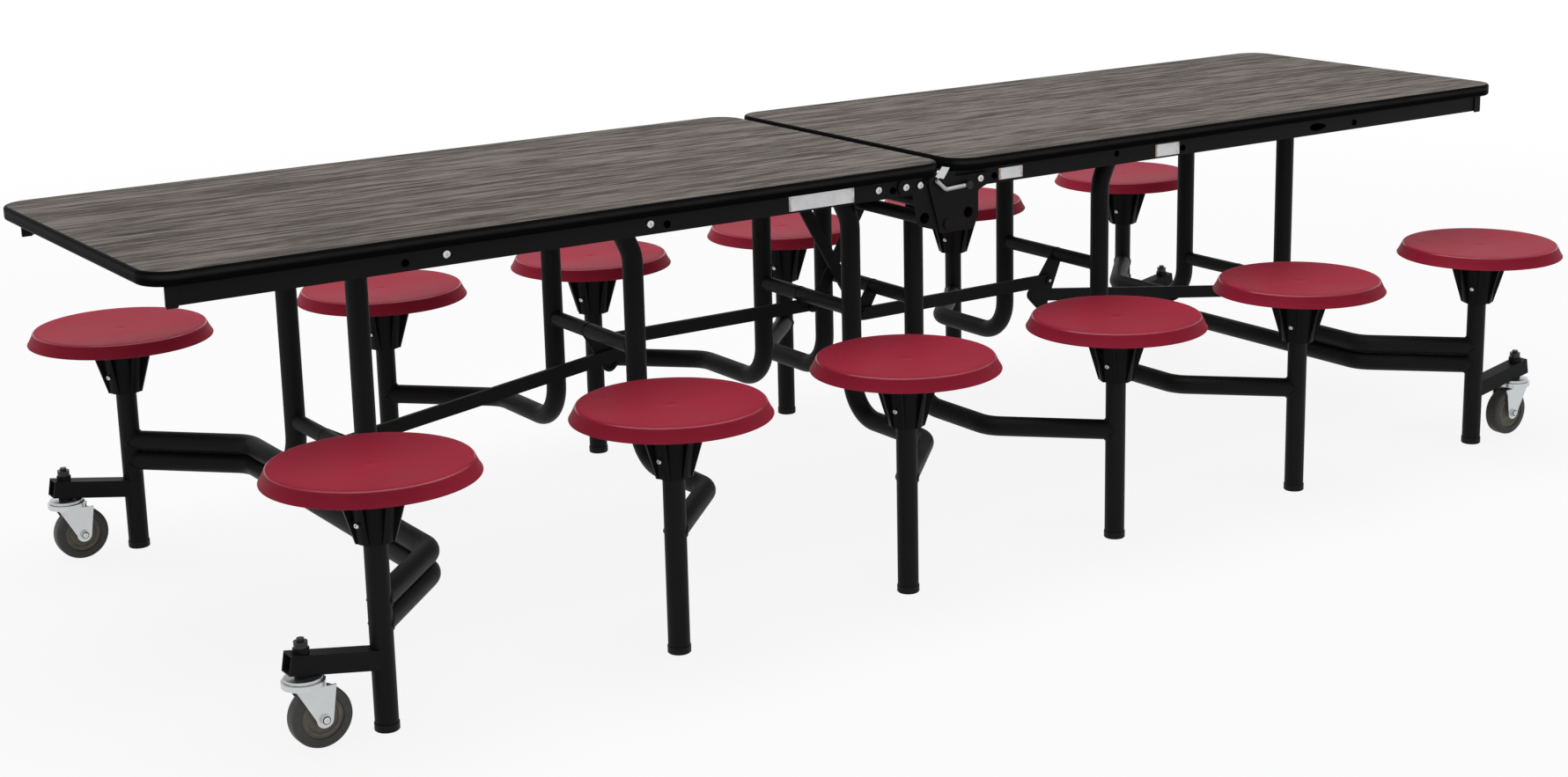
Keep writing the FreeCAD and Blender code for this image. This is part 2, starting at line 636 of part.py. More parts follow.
def lobed_plate():
    """Lobed plate on the rail's face at the rear, with the hinge hole."""
    y0 = RAIL_FACE
    y1 = RAIL_FACE + HINGE_PLATE
    bolts = [(x, HINGE_BOLT_HEIGHT) for x in HINGE_BOLT_X]
    tube = (HINGE_TUBE_X, HINGE_TUBE_HEIGHT)
    pin = (0, HINGE_HEIGHT)
    return fused([
        link_plate(bolts[0], bolts[1], HINGE_LOBE_RADIUS, y0, y1),
        link_plate(bolts[0], tube, HINGE_BOSS_RADIUS, y0, y1),
        link_plate(tube, pin, HINGE_BOSS_RADIUS, y0, y1),
        link_plate(bolts[0], pin, HINGE_BOSS_RADIUS, y0, y1),
    ])


def wide_plate():
    """Wide plate at the front, outside the other half's lobed plate, on a spacer."""
    y1 = -RAIL_FACE - HINGE_PLATE - HINGE_LAYER_GAP
    y0 = y1 - HINGE_PLATE
    high = HINGE_BOLT_HEIGHT + WIDE_PLATE_ABOVE_BOLTS
    low = HINGE_HEIGHT - HINGE_BOSS_RADIUS
    outline = [
        (-WIDE_PLATE_OVERLAP, high),
        (WIDE_PLATE_END, high),
        (WIDE_PLATE_END, RAIL_BOTTOM + WIDE_PLATE_RAIL_MARGIN),
        (WIDE_PLATE_BODY, RAIL_BOTTOM - WIDE_PLATE_RAIL_MARGIN),
        (WIDE_PLATE_BODY, low + WIDE_PLATE_BEVEL),
        (WIDE_PLATE_FOOT, low),
        (-WIDE_PLATE_TOE, low),
    ]
    plate = outline_plate(outline, y0, y1)
    corners = [e for e in plate.Edges if abs(e.tangentAt(e.FirstParameter).y) > 0.9]
    plate = plate.makeFillet(WIDE_PLATE_ROUND, corners)
    middle = (RAIL_BOTTOM + BOARD_BOTTOM) / 2
    spacer = box(SPACER_START, SPACER_START + SPACER_LENGTH, y1, -RAIL_FACE,
                 middle - SPACER_HEIGHT / 2, middle + SPACER_HEIGHT / 2)
    return plate.fuse(spacer)


def hinge_frame(half, other_half):
    """Both hinge plates, the cross tube between them and the lever that carries the brace."""
    front = -RAIL_FACE - 2 * HINGE_PLATE - HINGE_LAYER_GAP
    back = RAIL_FACE + HINGE_PLATE
    radius = HINGE_TUBE_DIAMETER / 2
    tube = cylinder_y(HINGE_TUBE_X, HINGE_TUBE_HEIGHT, radius, front, back)
    bore = cylinder_y(HINGE_TUBE_X, HINGE_TUBE_HEIGHT, radius - TUBE_WALL, front - CUT_PAST, back + CUT_PAST)
    pin = brace_pin(other_half)
    low = PLATE_Y - PLATE_THICKNESS / 2
    high = PLATE_Y + PLATE_THICKNESS / 2
    lever = link_plate((HINGE_TUBE_X, HINGE_TUBE_HEIGHT), pin, BRACE_WIDTH / 2, low, high)
    face = low - 2 * BAR_SIDE_GAP - BRACE_THICKNESS
    shank = cylinder_y(pin[0], pin[1], PIN_RADIUS, face, high)
    head = cylinder_y(pin[0], pin[1], PIN_HEAD_DIAMETER / 2, face - PIN_HEAD_THICKNESS, face)
    weldment = fused([tube, lobed_plate(), wide_plate(), lever, shank, head]).cut(bore)
    hole_radius = HINGE_PIN_DIAMETER / 2 + RUNNING_CLEARANCE
    weldment = weldment.cut(cylinder_y(0, HINGE_HEIGHT, hole_radius, front - CUT_PAST, back + CUT_PAST))
    latch_hole = cylinder_y(LATCH_PIVOT_X, LATCH_PIVOT_HEIGHT, LATCH_PIN_DIAMETER / 2 + RUNNING_CLEARANCE,
                            front - CUT_PAST, -RAIL_FACE)
    return weldment.cut(latch_hole).removeSplitter() if half == "right" else weldment.removeSplitter()


def hinge_pin():
    front = -RAIL_FACE - 2 * HINGE_PLATE - 2 * HINGE_LAYER_GAP
    back = -RAIL_FACE + HINGE_LAYER_GAP
    shank = cylinder_y(0, HINGE_HEIGHT, HINGE_PIN_DIAMETER / 2, front, back)
    head = cylinder_y(0, HINGE_HEIGHT, HINGE_HEAD_DIAMETER / 2, front - HINGE_HEAD_THICKNESS, front)
    nut = cylinder_y(0, HINGE_HEIGHT, HINGE_HEAD_DIAMETER / 2, back, back + HINGE_HEAD_THICKNESS)
    return fused([shank, head, nut])


def latch_handle():
    plate_front = -RAIL_FACE - 2 * HINGE_PLATE - HINGE_LAYER_GAP
    rod_y = plate_front - LATCH_REACH
    points = [vec(LATCH_PIVOT_X, rod_y, LATCH_PIVOT_HEIGHT), vec(LATCH_GRIP[0], rod_y, LATCH_GRIP[1]),
              vec(LATCH_HOOK[0], rod_y, LATCH_HOOK[1])]
    rod = bent_bar(points, LATCH_ROD_DIAMETER / 2, [LATCH_BEND])
    boss = cylinder_y(LATCH_PIVOT_X, LATCH_PIVOT_HEIGHT, LATCH_BOSS_DIAMETER / 2,
                      rod_y - LATCH_ROD_DIAMETER / 2 - LATCH_BOSS_PROUD, plate_front - HINGE_LAYER_GAP)
    pin = cylinder_y(LATCH_PIVOT_X, LATCH_PIVOT_HEIGHT, LATCH_PIN_DIAMETER / 2,
                     plate_front - HINGE_LAYER_GAP, -RAIL_FACE - HINGE_LAYER_GAP)
    return fused([rod, boss, pin])


# Casters

def caster_stem(side):
    y = side * STOOL_Y
    bottom = CASTER_SOCKET_BOTTOM - CASTER_RACE_THICKNESS
    crown_low = bottom - CASTER_RACE_GAP - CASTER_CROWN_THICKNESS
    radius = CASTER_STEM_DIAMETER / 2
    nut_top = CASTER_SOCKET_TOP + CASTER_NUT_HEIGHT
    king_top = crown_low - CASTER_RACE_GAP
    return fused([
        cylinder_z(CASTER_X, y, radius, king_top, nut_top + CASTER_STEM_PROUD),
        cylinder_z(CASTER_X, y, CASTER_RACE_DIAMETER / 2, bottom, CASTER_SOCKET_BOTTOM),
        cylinder_z(CASTER_X, y, CASTER_NUT_DIAMETER / 2, CASTER_SOCKET_TOP, nut_top),
        cylinder_z(CASTER_X, y, CASTER_KING_HEAD / 2, king_top - CASTER_KING_THICKNESS, king_top),
    ])


def caster_fork(side):
    y = side * STOOL_Y
    crown_top = CASTER_SOCKET_BOTTOM - CASTER_RACE_THICKNESS - CASTER_RACE_GAP
    crown_low = crown_top - CASTER_CROWN_THICKNESS
    crown = cylinder_z(CASTER_X, y, CASTER_CROWN_DIAMETER / 2, crown_low, crown_top)
    axle_x = CASTER_X - CASTER_TRAIL
    inner = WHEEL_WIDTH / 2 + FORK_SIDE_GAP
    pieces = [crown]
    for cheek in (-1, 1):
        y0, y1 = sorted((y + cheek * inner, y + cheek * (inner + FORK_WALL)))
        top = [(CASTER_X - FORK_TOP_INWARD, crown_top), (CASTER_X + FORK_TOP_OUTWARD, crown_top)]
        foot = [(axle_x + FORK_FOOT_RADIUS, AXLE_HEIGHT), (axle_x - FORK_FOOT_RADIUS, AXLE_HEIGHT)]
        ear = [(CASTER_X - FORK_EAR_INWARD, crown_low - FORK_EAR_STEP),
               (CASTER_X - FORK_TOP_INWARD, crown_low - FORK_EAR_STEP)]
        pieces.append(outline_plate(top + foot + ear, y0, y1))
        pieces.append(cylinder_y(axle_x, AXLE_HEIGHT, FORK_FOOT_RADIUS, y0, y1))
    bore = cylinder_z(CASTER_X, y, CASTER_STEM_DIAMETER / 2 + RUNNING_CLEARANCE,
                      crown_low - CUT_PAST, crown_top + CUT_PAST)
    axle_hole = cylinder_y(axle_x, AXLE_HEIGHT, AXLE_DIAMETER / 2 + RUNNING_CLEARANCE,
                           y - inner - FORK_WALL - CUT_PAST, y + inner + FORK_WALL + CUT_PAST)
    return fused(pieces).cut(bore).cut(axle_hole).removeSplitter()


def caster_axle(side):
    y = side * STOOL_Y
    axle_x = CASTER_X - CASTER_TRAIL
    reach = WHEEL_WIDTH / 2 + FORK_SIDE_GAP + FORK_WALL
    shank = cylinder_y(axle_x, AXLE_HEIGHT, AXLE_DIAMETER / 2, y - reach, y + reach)
    heads = [cylinder_y(axle_x, AXLE_HEIGHT, AXLE_HEAD_DIAMETER / 2, start, start + AXLE_HEAD_THICKNESS)
             for start in (y - reach - AXLE_HEAD_THICKNESS, y + reach)]
    return fused([shank] + heads)


def caster_wheel(side):
    y = side * STOOL_Y
    axle_x = CASTER_X - CASTER_TRAIL
    wheel = cylinder_y(axle_x, AXLE_HEIGHT, WHEEL_DIAMETER / 2, y - WHEEL_WIDTH / 2, y + WHEEL_WIDTH / 2)
    rims = [e for e in wheel.Edges if e.BoundBox.YLength < 1e-6]
    wheel = wheel.makeFillet(WHEEL_ROUND, rims)
    boss_reach = WHEEL_WIDTH / 2 + FORK_SIDE_GAP - WHEEL_BOSS_GAP
    boss = cylinder_y(axle_x, AXLE_HEIGHT, WHEEL_BOSS_DIAMETER / 2, y - boss_reach, y + boss_reach)
    bore = cylinder_y(axle_x, AXLE_HEIGHT, AXLE_DIAMETER / 2 + RUNNING_CLEARANCE,
                      y - WHEEL_WIDTH, y + WHEEL_WIDTH)
    return wheel.fuse(boss).cut(bore)


def build_half(half, other_half):
    place = turned if half == "left" else (lambda shape: shape)

    def write(name, solids):
        save(half + "_" + name, [place(solid) for solid in solids])

    write("laminate", [laminate()])
    write("board", [board()])
    write("edge_band", [edge_band()])
    write("side_rails", [side_rail(-1), side_rail(1)])
    write("pivot_rods", pivot_rods())
    write("hinge_frame", [hinge_frame(half, other_half)])
    for index, kind in enumerate(FRAMES):
        write(kind + "_frame", [frame(half, index)])
        write(kind + "_seats", [seat(index, side) for side in (-1, 1)])
        write(kind + "_seat_mounts", [seat_mount(index, side) for side in (-1, 1)])
        write(kind + "_glides", [glide(index, side) for side in (-1, 1)])
    write("inner_link_bar", [inner_link_bar(half)])
    write("outer_link_bar", [outer_link_bar(half)])
    write("brace", [brace(other_half)])
    write("caster_stems", [caster_stem(side) for side in (-1, 1)])
    for side in (-1, 1):
        rear = (side > 0) == (half == "right")
        corner = "rear" if rear else "front"
        write(corner + "_caster_fork", [caster_fork(side)])
        write(corner + "_caster_axle", [caster_axle(side)])
        write(corner + "_caster_wheel", [caster_wheel(side)])


def main():
    os.makedirs("parts", exist_ok=True)
    build_half("right", "left")
    build_half("left", "right")
    save("hinge_pins", [hinge_pin(), turned(hinge_pin())])
    save("latch_handle", [latch_handle()])


main()
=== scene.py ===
"""Dresses the folding cafeteria table in its materials and fittings, and sets the studio round it."""
import math

import bmesh
import bpy
from bpy.props import FloatProperty, FloatVectorProperty, IntProperty, PointerProperty
from mathutils import Matrix, Vector


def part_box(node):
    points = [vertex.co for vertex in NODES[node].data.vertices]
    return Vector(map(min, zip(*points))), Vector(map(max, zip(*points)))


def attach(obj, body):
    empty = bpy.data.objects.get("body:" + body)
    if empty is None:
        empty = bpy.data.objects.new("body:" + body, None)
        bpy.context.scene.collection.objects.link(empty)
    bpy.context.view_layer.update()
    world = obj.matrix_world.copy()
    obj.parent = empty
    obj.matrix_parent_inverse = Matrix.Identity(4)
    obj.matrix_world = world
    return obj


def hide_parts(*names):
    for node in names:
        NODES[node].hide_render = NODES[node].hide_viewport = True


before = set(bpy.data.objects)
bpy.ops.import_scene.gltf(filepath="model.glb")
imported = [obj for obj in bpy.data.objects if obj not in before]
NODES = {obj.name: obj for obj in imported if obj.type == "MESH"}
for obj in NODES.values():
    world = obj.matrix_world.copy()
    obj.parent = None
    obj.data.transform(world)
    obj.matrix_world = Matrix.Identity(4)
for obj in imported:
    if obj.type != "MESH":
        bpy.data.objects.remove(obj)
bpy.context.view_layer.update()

bl_info = {
    "name": "Mobile Cafeteria Table",
    "version": (1, 0, 0),
    "blender": (4, 5, 0),
    "location": "3D View > Sidebar > Table",
    "description": "Dresses a folding cafeteria table with twelve stools and sets its studio",
    "category": "Object",
}

# Lengths are in metres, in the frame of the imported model: X along the table, Y to the rear, Z up.
HALVES = ("left", "right")
OUTWARD = {"left": -1, "right": 1}
KINDS = ("inner", "middle", "caster")
CORNERS = ("front", "rear")
PICTURE_WIDTH = 1781
# Lift that keeps a thin piece off the face that it sits on
LIFT = 0.00002

# Welded joints of the frames
TUBE_RADIUS = 0.01905
CROSS_TUBE_RADIUS = 0.0143
LEG_Y = 0.156
STOOL_OFFSET = 0.172
ARM_Z = 0.214
LOWER_ARM_Z = 0.1751
CROSS_TUBE_Z = {"inner": 0.425, "middle": 0.425, "caster": 0.314}

# Fronts of the rails and hinge plates, measured from the table's middle
RAIL_FRONT = 0.356
LOBED_PLATE_FRONT = 0.360
WIDE_PLATE_FRONT = 0.3644
KEEPER_FRONT = 0.3698
LATCH_PIVOT = Vector((0.045, 0.0, 0.686))
LATCH_BOSS_RADIUS = 0.0085

# Fittings of the left half as places along X and heights. The right half has them turned by 180 degrees.
RAIL_BOLT_X = (-1.028, -0.641, -0.154)
RAIL_BOLT_Z = 0.697
LOBED_PLATE_BOLT_X = (-0.094, -0.061)
LOBED_PLATE_BOLT_Z = 0.696
WIDE_PLATE_BOLT = (-0.078, 0.6935)
RAIL_HOLE = (-0.429, 0.700)
RAIL_SLOT = (-0.992, 0.694)
SLOT_HALF_LENGTH = 0.0235
SLOT_HALF_HEIGHT = 0.0075
SLOT_TAPER = 0.0020
# Caps on the rails' outer ends: length, reach below the rail, and distance from its top
RAIL_CAP_LENGTH = 0.020
RAIL_CAP_DROP = 0.003
RAIL_CAP_GAP = 0.002
# Plate in the gap above the wide hinge plate: ends along X, lower and upper edge, and its depth
GAP_PLATE = (-0.014, 0.020, 0.700, 0.7126)
GAP_PLATE_DEPTH = 0.0036
# Latch keeper and its arm as places along X and heights
KEEPER_TAB = ((-0.0330, 0.7098), (-0.0130, 0.7035), (0.0010, 0.7235), (-0.0160, 0.7275))
KEEPER_ARM = ((-0.0690, 0.6915), (-0.0530, 0.6995), (-0.0482, 0.7020), (-0.0320, 0.7085))
KEEPER_ARM_HALF_WIDTH = 0.004
# Bare label plates on the front rails: half, ends along X, lower and upper edge
LABEL_PLATES = (
    ("left", -0.352, -0.208, 0.6815, 0.7095),
    ("right", 0.130, 0.189, 0.6830, 0.7050),
    ("right", 0.531, 0.596, 0.6815, 0.7060),
)

# Link bars' rounded ends, and the slotted plate and pin head that they meet on a middle frame
BAR_ROUND = 0.013
LINK_PLATE_FACE = 0.021
LINK_PIN_FACE = 0.033
LINK_SLOT_RUN = 0.0184
LINK_COVER_RADIUS = 0.0125

# Seats: gate mark and ribs, measured from the middle of the top
GATE_MARK = Vector((-0.075, 0.095, -0.0012))
RIB_TOP = Vector((0, 0, -0.0095))
RIB_VALUES = {"Length": 0.084, "Depth": 0.016, "Thickness": 0.002}
POLISH_DEPTH = 0.009
POLISHED_SLOPE = (0.60, 0.93)

# Seat mounts: radius of their wall at the bolt, and the side that the bolt faces
HUB_RADIUS = 0.0347
HUB_BOLT_AXIS = Vector((0.924, 0.383, 0))

# Half of a caster's tread, and the share of the radius where the tyre meets the core
TREAD_HALF_WIDTH = 0.0155
TYRE_SEAT = 0.67

# Radius and height of the small heads. The hole head is a dark disc of painted shade in a rail hole.
HOLE_SHADE_HEAD = (0.0062, 0.0009)
# Ring of painted shade round an axle head
AXLE_SHADE_RING = (0.0068, 0.0006)
AXLE_HEAD = (0.0054, 0.0022)
LABEL_RIVET = (0.0018, 0.0008)
LINK_RIVET = (0.0030, 0.0012)

# Distances from the table's middle over which the floor fades to white, and its whiteness at both
FLOOR_FADE = (2.0, 5.0, 0.89, 1.0)


class TableColours(bpy.types.PropertyGroup):
    """Colours of the table's finishes."""

    laminate_light: FloatVectorProperty(
        name="Laminate light", description="Pale streaks of the laminate print",
        subtype="COLOR", default=(0.196, 0.172, 0.153), min=0, max=1)
    laminate_dark: FloatVectorProperty(
        name="Laminate dark", description="Dark streaks of the laminate print",
        subtype="COLOR", default=(0.050, 0.043, 0.038), min=0, max=1)
    laminate_pore: FloatVectorProperty(
        name="Laminate pore", description="Thin pores printed along the grain",
        subtype="COLOR", default=(0.018, 0.015, 0.013), min=0, max=1)
    seat: FloatVectorProperty(
        name="Seat", description="Moulded seat plastic",
        subtype="COLOR", default=(0.312, 0.0165, 0.0390), min=0, max=1)
    coat: FloatVectorProperty(
        name="Powder coat", description="Black coat of the frames and rails",
        subtype="COLOR", default=(0.0088, 0.0088, 0.0088), min=0, max=1)
    band: FloatVectorProperty(
        name="Edge band", description="Black vinyl round the top",
        subtype="COLOR", default=(0.0050, 0.0050, 0.0050), min=0, max=1)
    # Near-black of the pivot rod ends: partly the rods' own dark steel, partly painted shade of the recesses
    # they sit in. It also paints the shade in the rail holes and slots
    rod_and_hole_shade: FloatVectorProperty(
        name="Rod and hole shade", description="Near-black pivot rod ends, partly painted shade of their recesses, and painted shade in the rail holes and slots",
        subtype="COLOR", default=(0.0010, 0.0010, 0.0010), min=0, max=1)
    hub: FloatVectorProperty(
        name="Seat mount", description="Black plastic of the seat mounts",
        subtype="COLOR", default=(0.0040, 0.0040, 0.0040), min=0, max=1)
    glide: FloatVectorProperty(
        name="Glide", description="Black nylon of the foot glides",
        subtype="COLOR", default=(0.0080, 0.0080, 0.0080), min=0, max=1)
    # Colour of the painted highlight stripe along the edge band
    band_highlight: FloatVectorProperty(
        name="Edge band highlight", description="Painted highlight along the edge band's long faces",
        subtype="COLOR", default=(0.040, 0.040, 0.040), min=0, max=1)
    zinc: FloatVectorProperty(
        name="Zinc", description="Plated caster forks and bolts",
        subtype="COLOR", default=(0.62, 0.64, 0.65), min=0, max=1)
    tyre: FloatVectorProperty(
        name="Tyre", description="Grey rubber of the caster wheels",
        subtype="COLOR", default=(0.098, 0.098, 0.094), min=0, max=1)
    core: FloatVectorProperty(
        name="Wheel core", description="Olive grey plastic inside the tyre",
        subtype="COLOR", default=(0.240, 0.230, 0.180), min=0, max=1)
    stain: FloatVectorProperty(
        name="Stain", description="Brown stain at the ends of the label plates",
        subtype="COLOR", default=(0.30, 0.17, 0.09), min=0, max=1)
    backer: FloatVectorProperty(
        name="Board", description="Pressed wood under the top",
        subtype="COLOR", default=(0.23, 0.15, 0.085), min=0, max=1)


class TableSizes(bpy.types.PropertyGroup):
    """Sizes of the small pieces that dress the table."""

    seat_dish: FloatProperty(
        name="Seat dish", description="Depth of the seat's hollow", unit="LENGTH", default=0.005)
    seat_edge: FloatProperty(
        name="Seat edge", description="Width of the seat's sloped rim", unit="LENGTH", default=0.0095)
    seat_round: FloatProperty(
        name="Seat round", description="Rounding between the seat's top and rim",
        unit="LENGTH", default=0.0065)
    seat_wall: FloatProperty(
        name="Seat wall", description="Thickness of the moulding", unit="LENGTH", default=0.005)
    seat_flat: FloatProperty(
        name="Seat flat", description="Radius of the flat that the mount bears on",
        unit="LENGTH", default=0.073)
    seat_ribs: IntProperty(
        name="Seat ribs", description="Stiffening ribs under a seat", default=12, min=3)
    bolt_head: FloatProperty(
        name="Bolt head", description="Radius of a rail bolt's head", unit="LENGTH", default=0.0072)
    bolt_height: FloatProperty(
        name="Bolt height", description="Height of a rail bolt's head", unit="LENGTH", default=0.0040)
    hub_bolt: FloatProperty(
        name="Hub bolt", description="Radius of the bolt through a stool's hub",
        unit="LENGTH", default=0.0050)
    hub_bolt_height: FloatProperty(
        name="Hub bolt height", description="Height of the hub bolt's head", unit="LENGTH", default=0.0062)
    hub_bolt_rise: FloatProperty(
        name="Hub bolt rise", description="Height of the hub's bolt above its foot",
        unit="LENGTH", default=0.034)
    weld_bead: FloatProperty(
        name="Weld bead", description="Radius of a weld bead", unit="LENGTH", default=0.0026)
    weld_ripple: FloatProperty(
        name="Weld ripple", description="Depth of a weld bead's ripples", unit="LENGTH", default=0.0009)
    plate_thickness: FloatProperty(
        name="Plate thickness", description="Thickness of a bare label plate", unit="LENGTH", default=0.0008)


class TableStudio(bpy.types.PropertyGroup):
    """Camera and light round the table."""

    camera_place: FloatVectorProperty(
        name="Camera place", description="Where the camera stands", subtype="TRANSLATION", unit="LENGTH",
        default=(-2.7196, -3.8752, 1.5049))
    camera_heading: FloatProperty(
        name="Camera heading", description="Turn of the view from the rear towards the right end",
        subtype="ANGLE", default=math.radians(35.040))
    camera_pitch: FloatProperty(
        name="Camera pitch", description="How far the view looks down", subtype="ANGLE",
        default=math.radians(13.287))
    camera_roll: FloatProperty(
        name="Camera roll", description="Tilt of the picture", subtype="ANGLE", default=math.radians(-1.006))
    focal_pixels: FloatProperty(
        name="Focal length", description="Focal length in pixels of the photograph", default=2738.8, min=1)
    camera_shift: FloatVectorProperty(
        name="Camera shift", description="Shift of the picture against the lens axis, as shares of its width",
        size=2, default=(-0.0334, -0.0514))
    overhead_power: FloatProperty(
        name="Overhead power", description="Power of the soft light above the table", default=146.0, min=0)
    front_power: FloatProperty(
        name="Front power", description="Power of the weak light in front", default=2.0, min=0)
    world_strength: FloatProperty(
        name="World strength", description="Strength of the even light from all round", default=0.30, min=0)
    floor_size: FloatProperty(
        name="Floor size", description="Side of the floor", unit="LENGTH", default=60.0)


# Node helpers

class NodeTree:
    """A node tree being built, with short ways to add and join its nodes."""

    def __init__(self, tree):
        self.tree = tree

    def add(self, kind, **settings):
        """A new node with its settings."""
        node = self.tree.nodes.new(kind)
        for key, value in settings.items():
            setattr(node, key, value)
        return node

    def join(self, output, socket):
        """A link from an output to a socket."""
        self.tree.links.new(output, socket)

    def math(self, operation, first, second):
        """The result of two values, each given as a number or as an output."""
        node = self.add("ShaderNodeMath", operation=operation)
        for socket, value in zip(node.inputs, (first, second)):
            if isinstance(value, bpy.types.NodeSocket):
                self.join(value, socket)
            else:
                socket.default_value = value
        return node.outputs["Value"]

    def spread(self, value, low, high, to_low, to_high):
        """Maps value from one range to another and keeps it inside."""
        node = self.add("ShaderNodeMapRange", clamp=True)
        self.join(value, node.inputs["Value"])
        for socket, number in zip(("From Min", "From Max", "To Min", "To Max"), (low, high, to_low, to_high)):
            node.inputs[socket].default_value = number
        return node.outputs["Result"]


# Materials

class Finish(NodeTree):
    """A material being built round its surface shader."""

    def __init__(self, name, **constants):
        self.material = bpy.data.materials.new(name)
        self.material.use_nodes = True
        super().__init__(self.material.node_tree)
        self.surface = self.tree.nodes["Principled BSDF"]
        for socket, value in constants.items():
            self.surface.inputs[socket.replace("_", " ")].default_value = value

    def place(self, scale):
        """Object coordinates stretched by scale along X, Y and Z."""
        coordinates = self.add("ShaderNodeTexCoord")
        mapping = self.add("ShaderNodeMapping")
        mapping.inputs["Scale"].default_value = scale
        self.join(coordinates.outputs["Object"], mapping.inputs["Vector"])
        return mapping.outputs["Vector"]

    def noise(self, scale, detail=3.0, roughness=0.55, distortion=0.0):
        """Noise from 0 to 1, with scale as its features per metre along X, Y and Z."""
        node = self.add("ShaderNodeTexNoise")
        node.inputs["Scale"].default_value = 1.0
        node.inputs["Detail"].default_value = detail
        node.inputs["Roughness"].default_value = roughness
        node.inputs["Distortion"].default_value = distortion
        self.join(self.place(scale), node.inputs["Vector"])
        return node.outputs["Fac"]

    def blend(self, factor, first, second):
        """A colour between two colours, each given as numbers or as an output."""
        node = self.add("ShaderNodeMix", data_type="RGBA")
        self.join(factor, node.inputs["Factor"])
        for socket, colour in ((node.inputs[6], first), (node.inputs[7], second)):
            if isinstance(colour, bpy.types.NodeSocket):
                self.join(colour, socket)
            else:
                socket.default_value = (*colour, 1.0)
        return node.outputs[2]

    def mottle(self, value, low, high, first, second):
        """A colour that goes from first to second as value goes from low to high."""
        return self.blend(self.spread(value, low, high, 0.0, 1.0), first, second)

    def colour(self, output):
        """Colours the surface."""
        self.join(output, self.surface.inputs["Base Color"])

    def rough(self, output):
        """Sets how rough the surface is."""
        self.join(output, self.surface.inputs["Roughness"])

    def bump(self, height, strength, distance):
        """Fine relief of the surface, from a height between 0 and 1."""
        node = self.add("ShaderNodeBump")
        node.inputs["Strength"].default_value = strength
        node.inputs["Distance"].default_value = distance
        self.join(height, node.inputs["Height"])
        self.join(node.outputs["Normal"], self.surface.inputs["Normal"])


def shade(colour, factor):
    """A colour made darker or lighter."""
    return tuple(channel * factor for channel in colour)


def streaked_laminate(colours):
    """Grey brown wood print: broad bands, fine fibres along X and thin dark pores."""
    finish = Finish("streaked_laminate", Specular_IOR_Level=0.02)
    bands = finish.noise((0.9, 22.0, 1.0), detail=4.0, distortion=0.35)
    fibres = finish.noise((3.6, 80.0, 1.0), detail=5.0, roughness=0.74)
    threads = finish.noise((11.0, 170.0, 1.0), detail=4.0, roughness=0.70)
    pores = finish.noise((6.0, 125.0, 1.0), detail=3.0, roughness=0.5, distortion=0.2)
    tone = finish.math("ADD", finish.math("MULTIPLY", bands, 0.12), finish.math("MULTIPLY", fibres, 0.52))
    tone = finish.math("ADD", tone, finish.math("MULTIPLY", threads, 0.36))
    wood = finish.mottle(tone, 0.45, 0.55, colours.laminate_dark, colours.laminate_light)
    finish.colour(finish.blend(finish.spread(pores, 0.59, 0.68, 0.0, 0.95), wood, colours.laminate_pore))
    finish.rough(finish.spread(fibres, 0.3, 0.7, 0.52, 0.66))
    finish.bump(finish.math("SUBTRACT", fibres, finish.spread(pores, 0.59, 0.68, 0.0, 0.8)), 0.25, 0.0002)
    return finish.material


def pressed_board(colours):
    """Chips of wood pressed into a board."""
    finish = Finish("pressed_board", Specular_IOR_Level=0.2)
    chips = finish.add("ShaderNodeTexVoronoi")
    chips.inputs["Scale"].default_value = 1.0
    finish.join(finish.place((190.0, 260.0, 190.0)), chips.inputs["Vector"])
    grain = finish.noise((60.0, 60.0, 60.0), detail=5.0)
    pressed = finish.math("ADD", finish.math("MULTIPLY", chips.outputs["Distance"], 0.7), grain)
    finish.colour(finish.mottle(pressed, 0.5, 1.1, shade(colours.backer, 0.65), colours.backer))
    finish.rough(finish.spread(grain, 0.3, 0.7, 0.65, 0.85))
    finish.bump(pressed, 0.3, 0.0004)
    return finish.material


def edge_vinyl(colour, band_highlight, side, top):
    """Black vinyl of the edge band, with a painted highlight along the middle of its long faces."""
    finish = Finish("edge_vinyl", Specular_IOR_Level=0.004)
    axes = finish.add("ShaderNodeSeparateXYZ")
    finish.join(finish.place((1.0, 1.0, 1.0)), axes.inputs["Vector"])
    cloud = finish.noise((14.0, 14.0, 14.0), detail=3.0)
    # Painted highlight: a paler stripe about 7 to 9 mm below the top, fainter on the end faces and mottled by
    # the cloud
    below = finish.spread(axes.outputs["Z"], top - 0.0140, top - 0.0085, 0.0, 1.0)
    above = finish.spread(axes.outputs["Z"], top - 0.0070, top - 0.0025, 1.0, 0.0)
    aside = finish.math("ABSOLUTE", axes.outputs["Y"], 0.0)
    long_face = finish.spread(aside, side - 0.030, side - 0.012, 0.3, 1.0)
    highlight_stripe = finish.math("MULTIPLY", finish.math("MULTIPLY", below, above), long_face)
    painted_highlight = finish.math("MULTIPLY", highlight_stripe, finish.spread(cloud, 0.25, 0.75, 0.6, 1.0))
    finish.colour(finish.blend(painted_highlight, colour, band_highlight))
    finish.rough(finish.spread(cloud, 0.3, 0.7, 0.22, 0.32))
    finish.bump(finish.noise((700.0, 700.0, 700.0), detail=2.0), 0.15, 0.0003)
    return finish.material


def black_plastic(name, colour, grain, level, low, high):
    """Moulded black plastic with a fine grain."""
    finish = Finish(name, Specular_IOR_Level=level)
    fine = finish.noise((grain, grain, grain), detail=2.0)
    cloud = finish.noise((14.0, 14.0, 14.0), detail=3.0)
    finish.colour(finish.mottle(cloud, 0.3, 0.7, shade(colour, 0.8), shade(colour, 1.35)))
    finish.rough(finish.spread(cloud, 0.3, 0.7, low, high))
    finish.bump(fine, 0.18, 0.0003)
    return finish.material


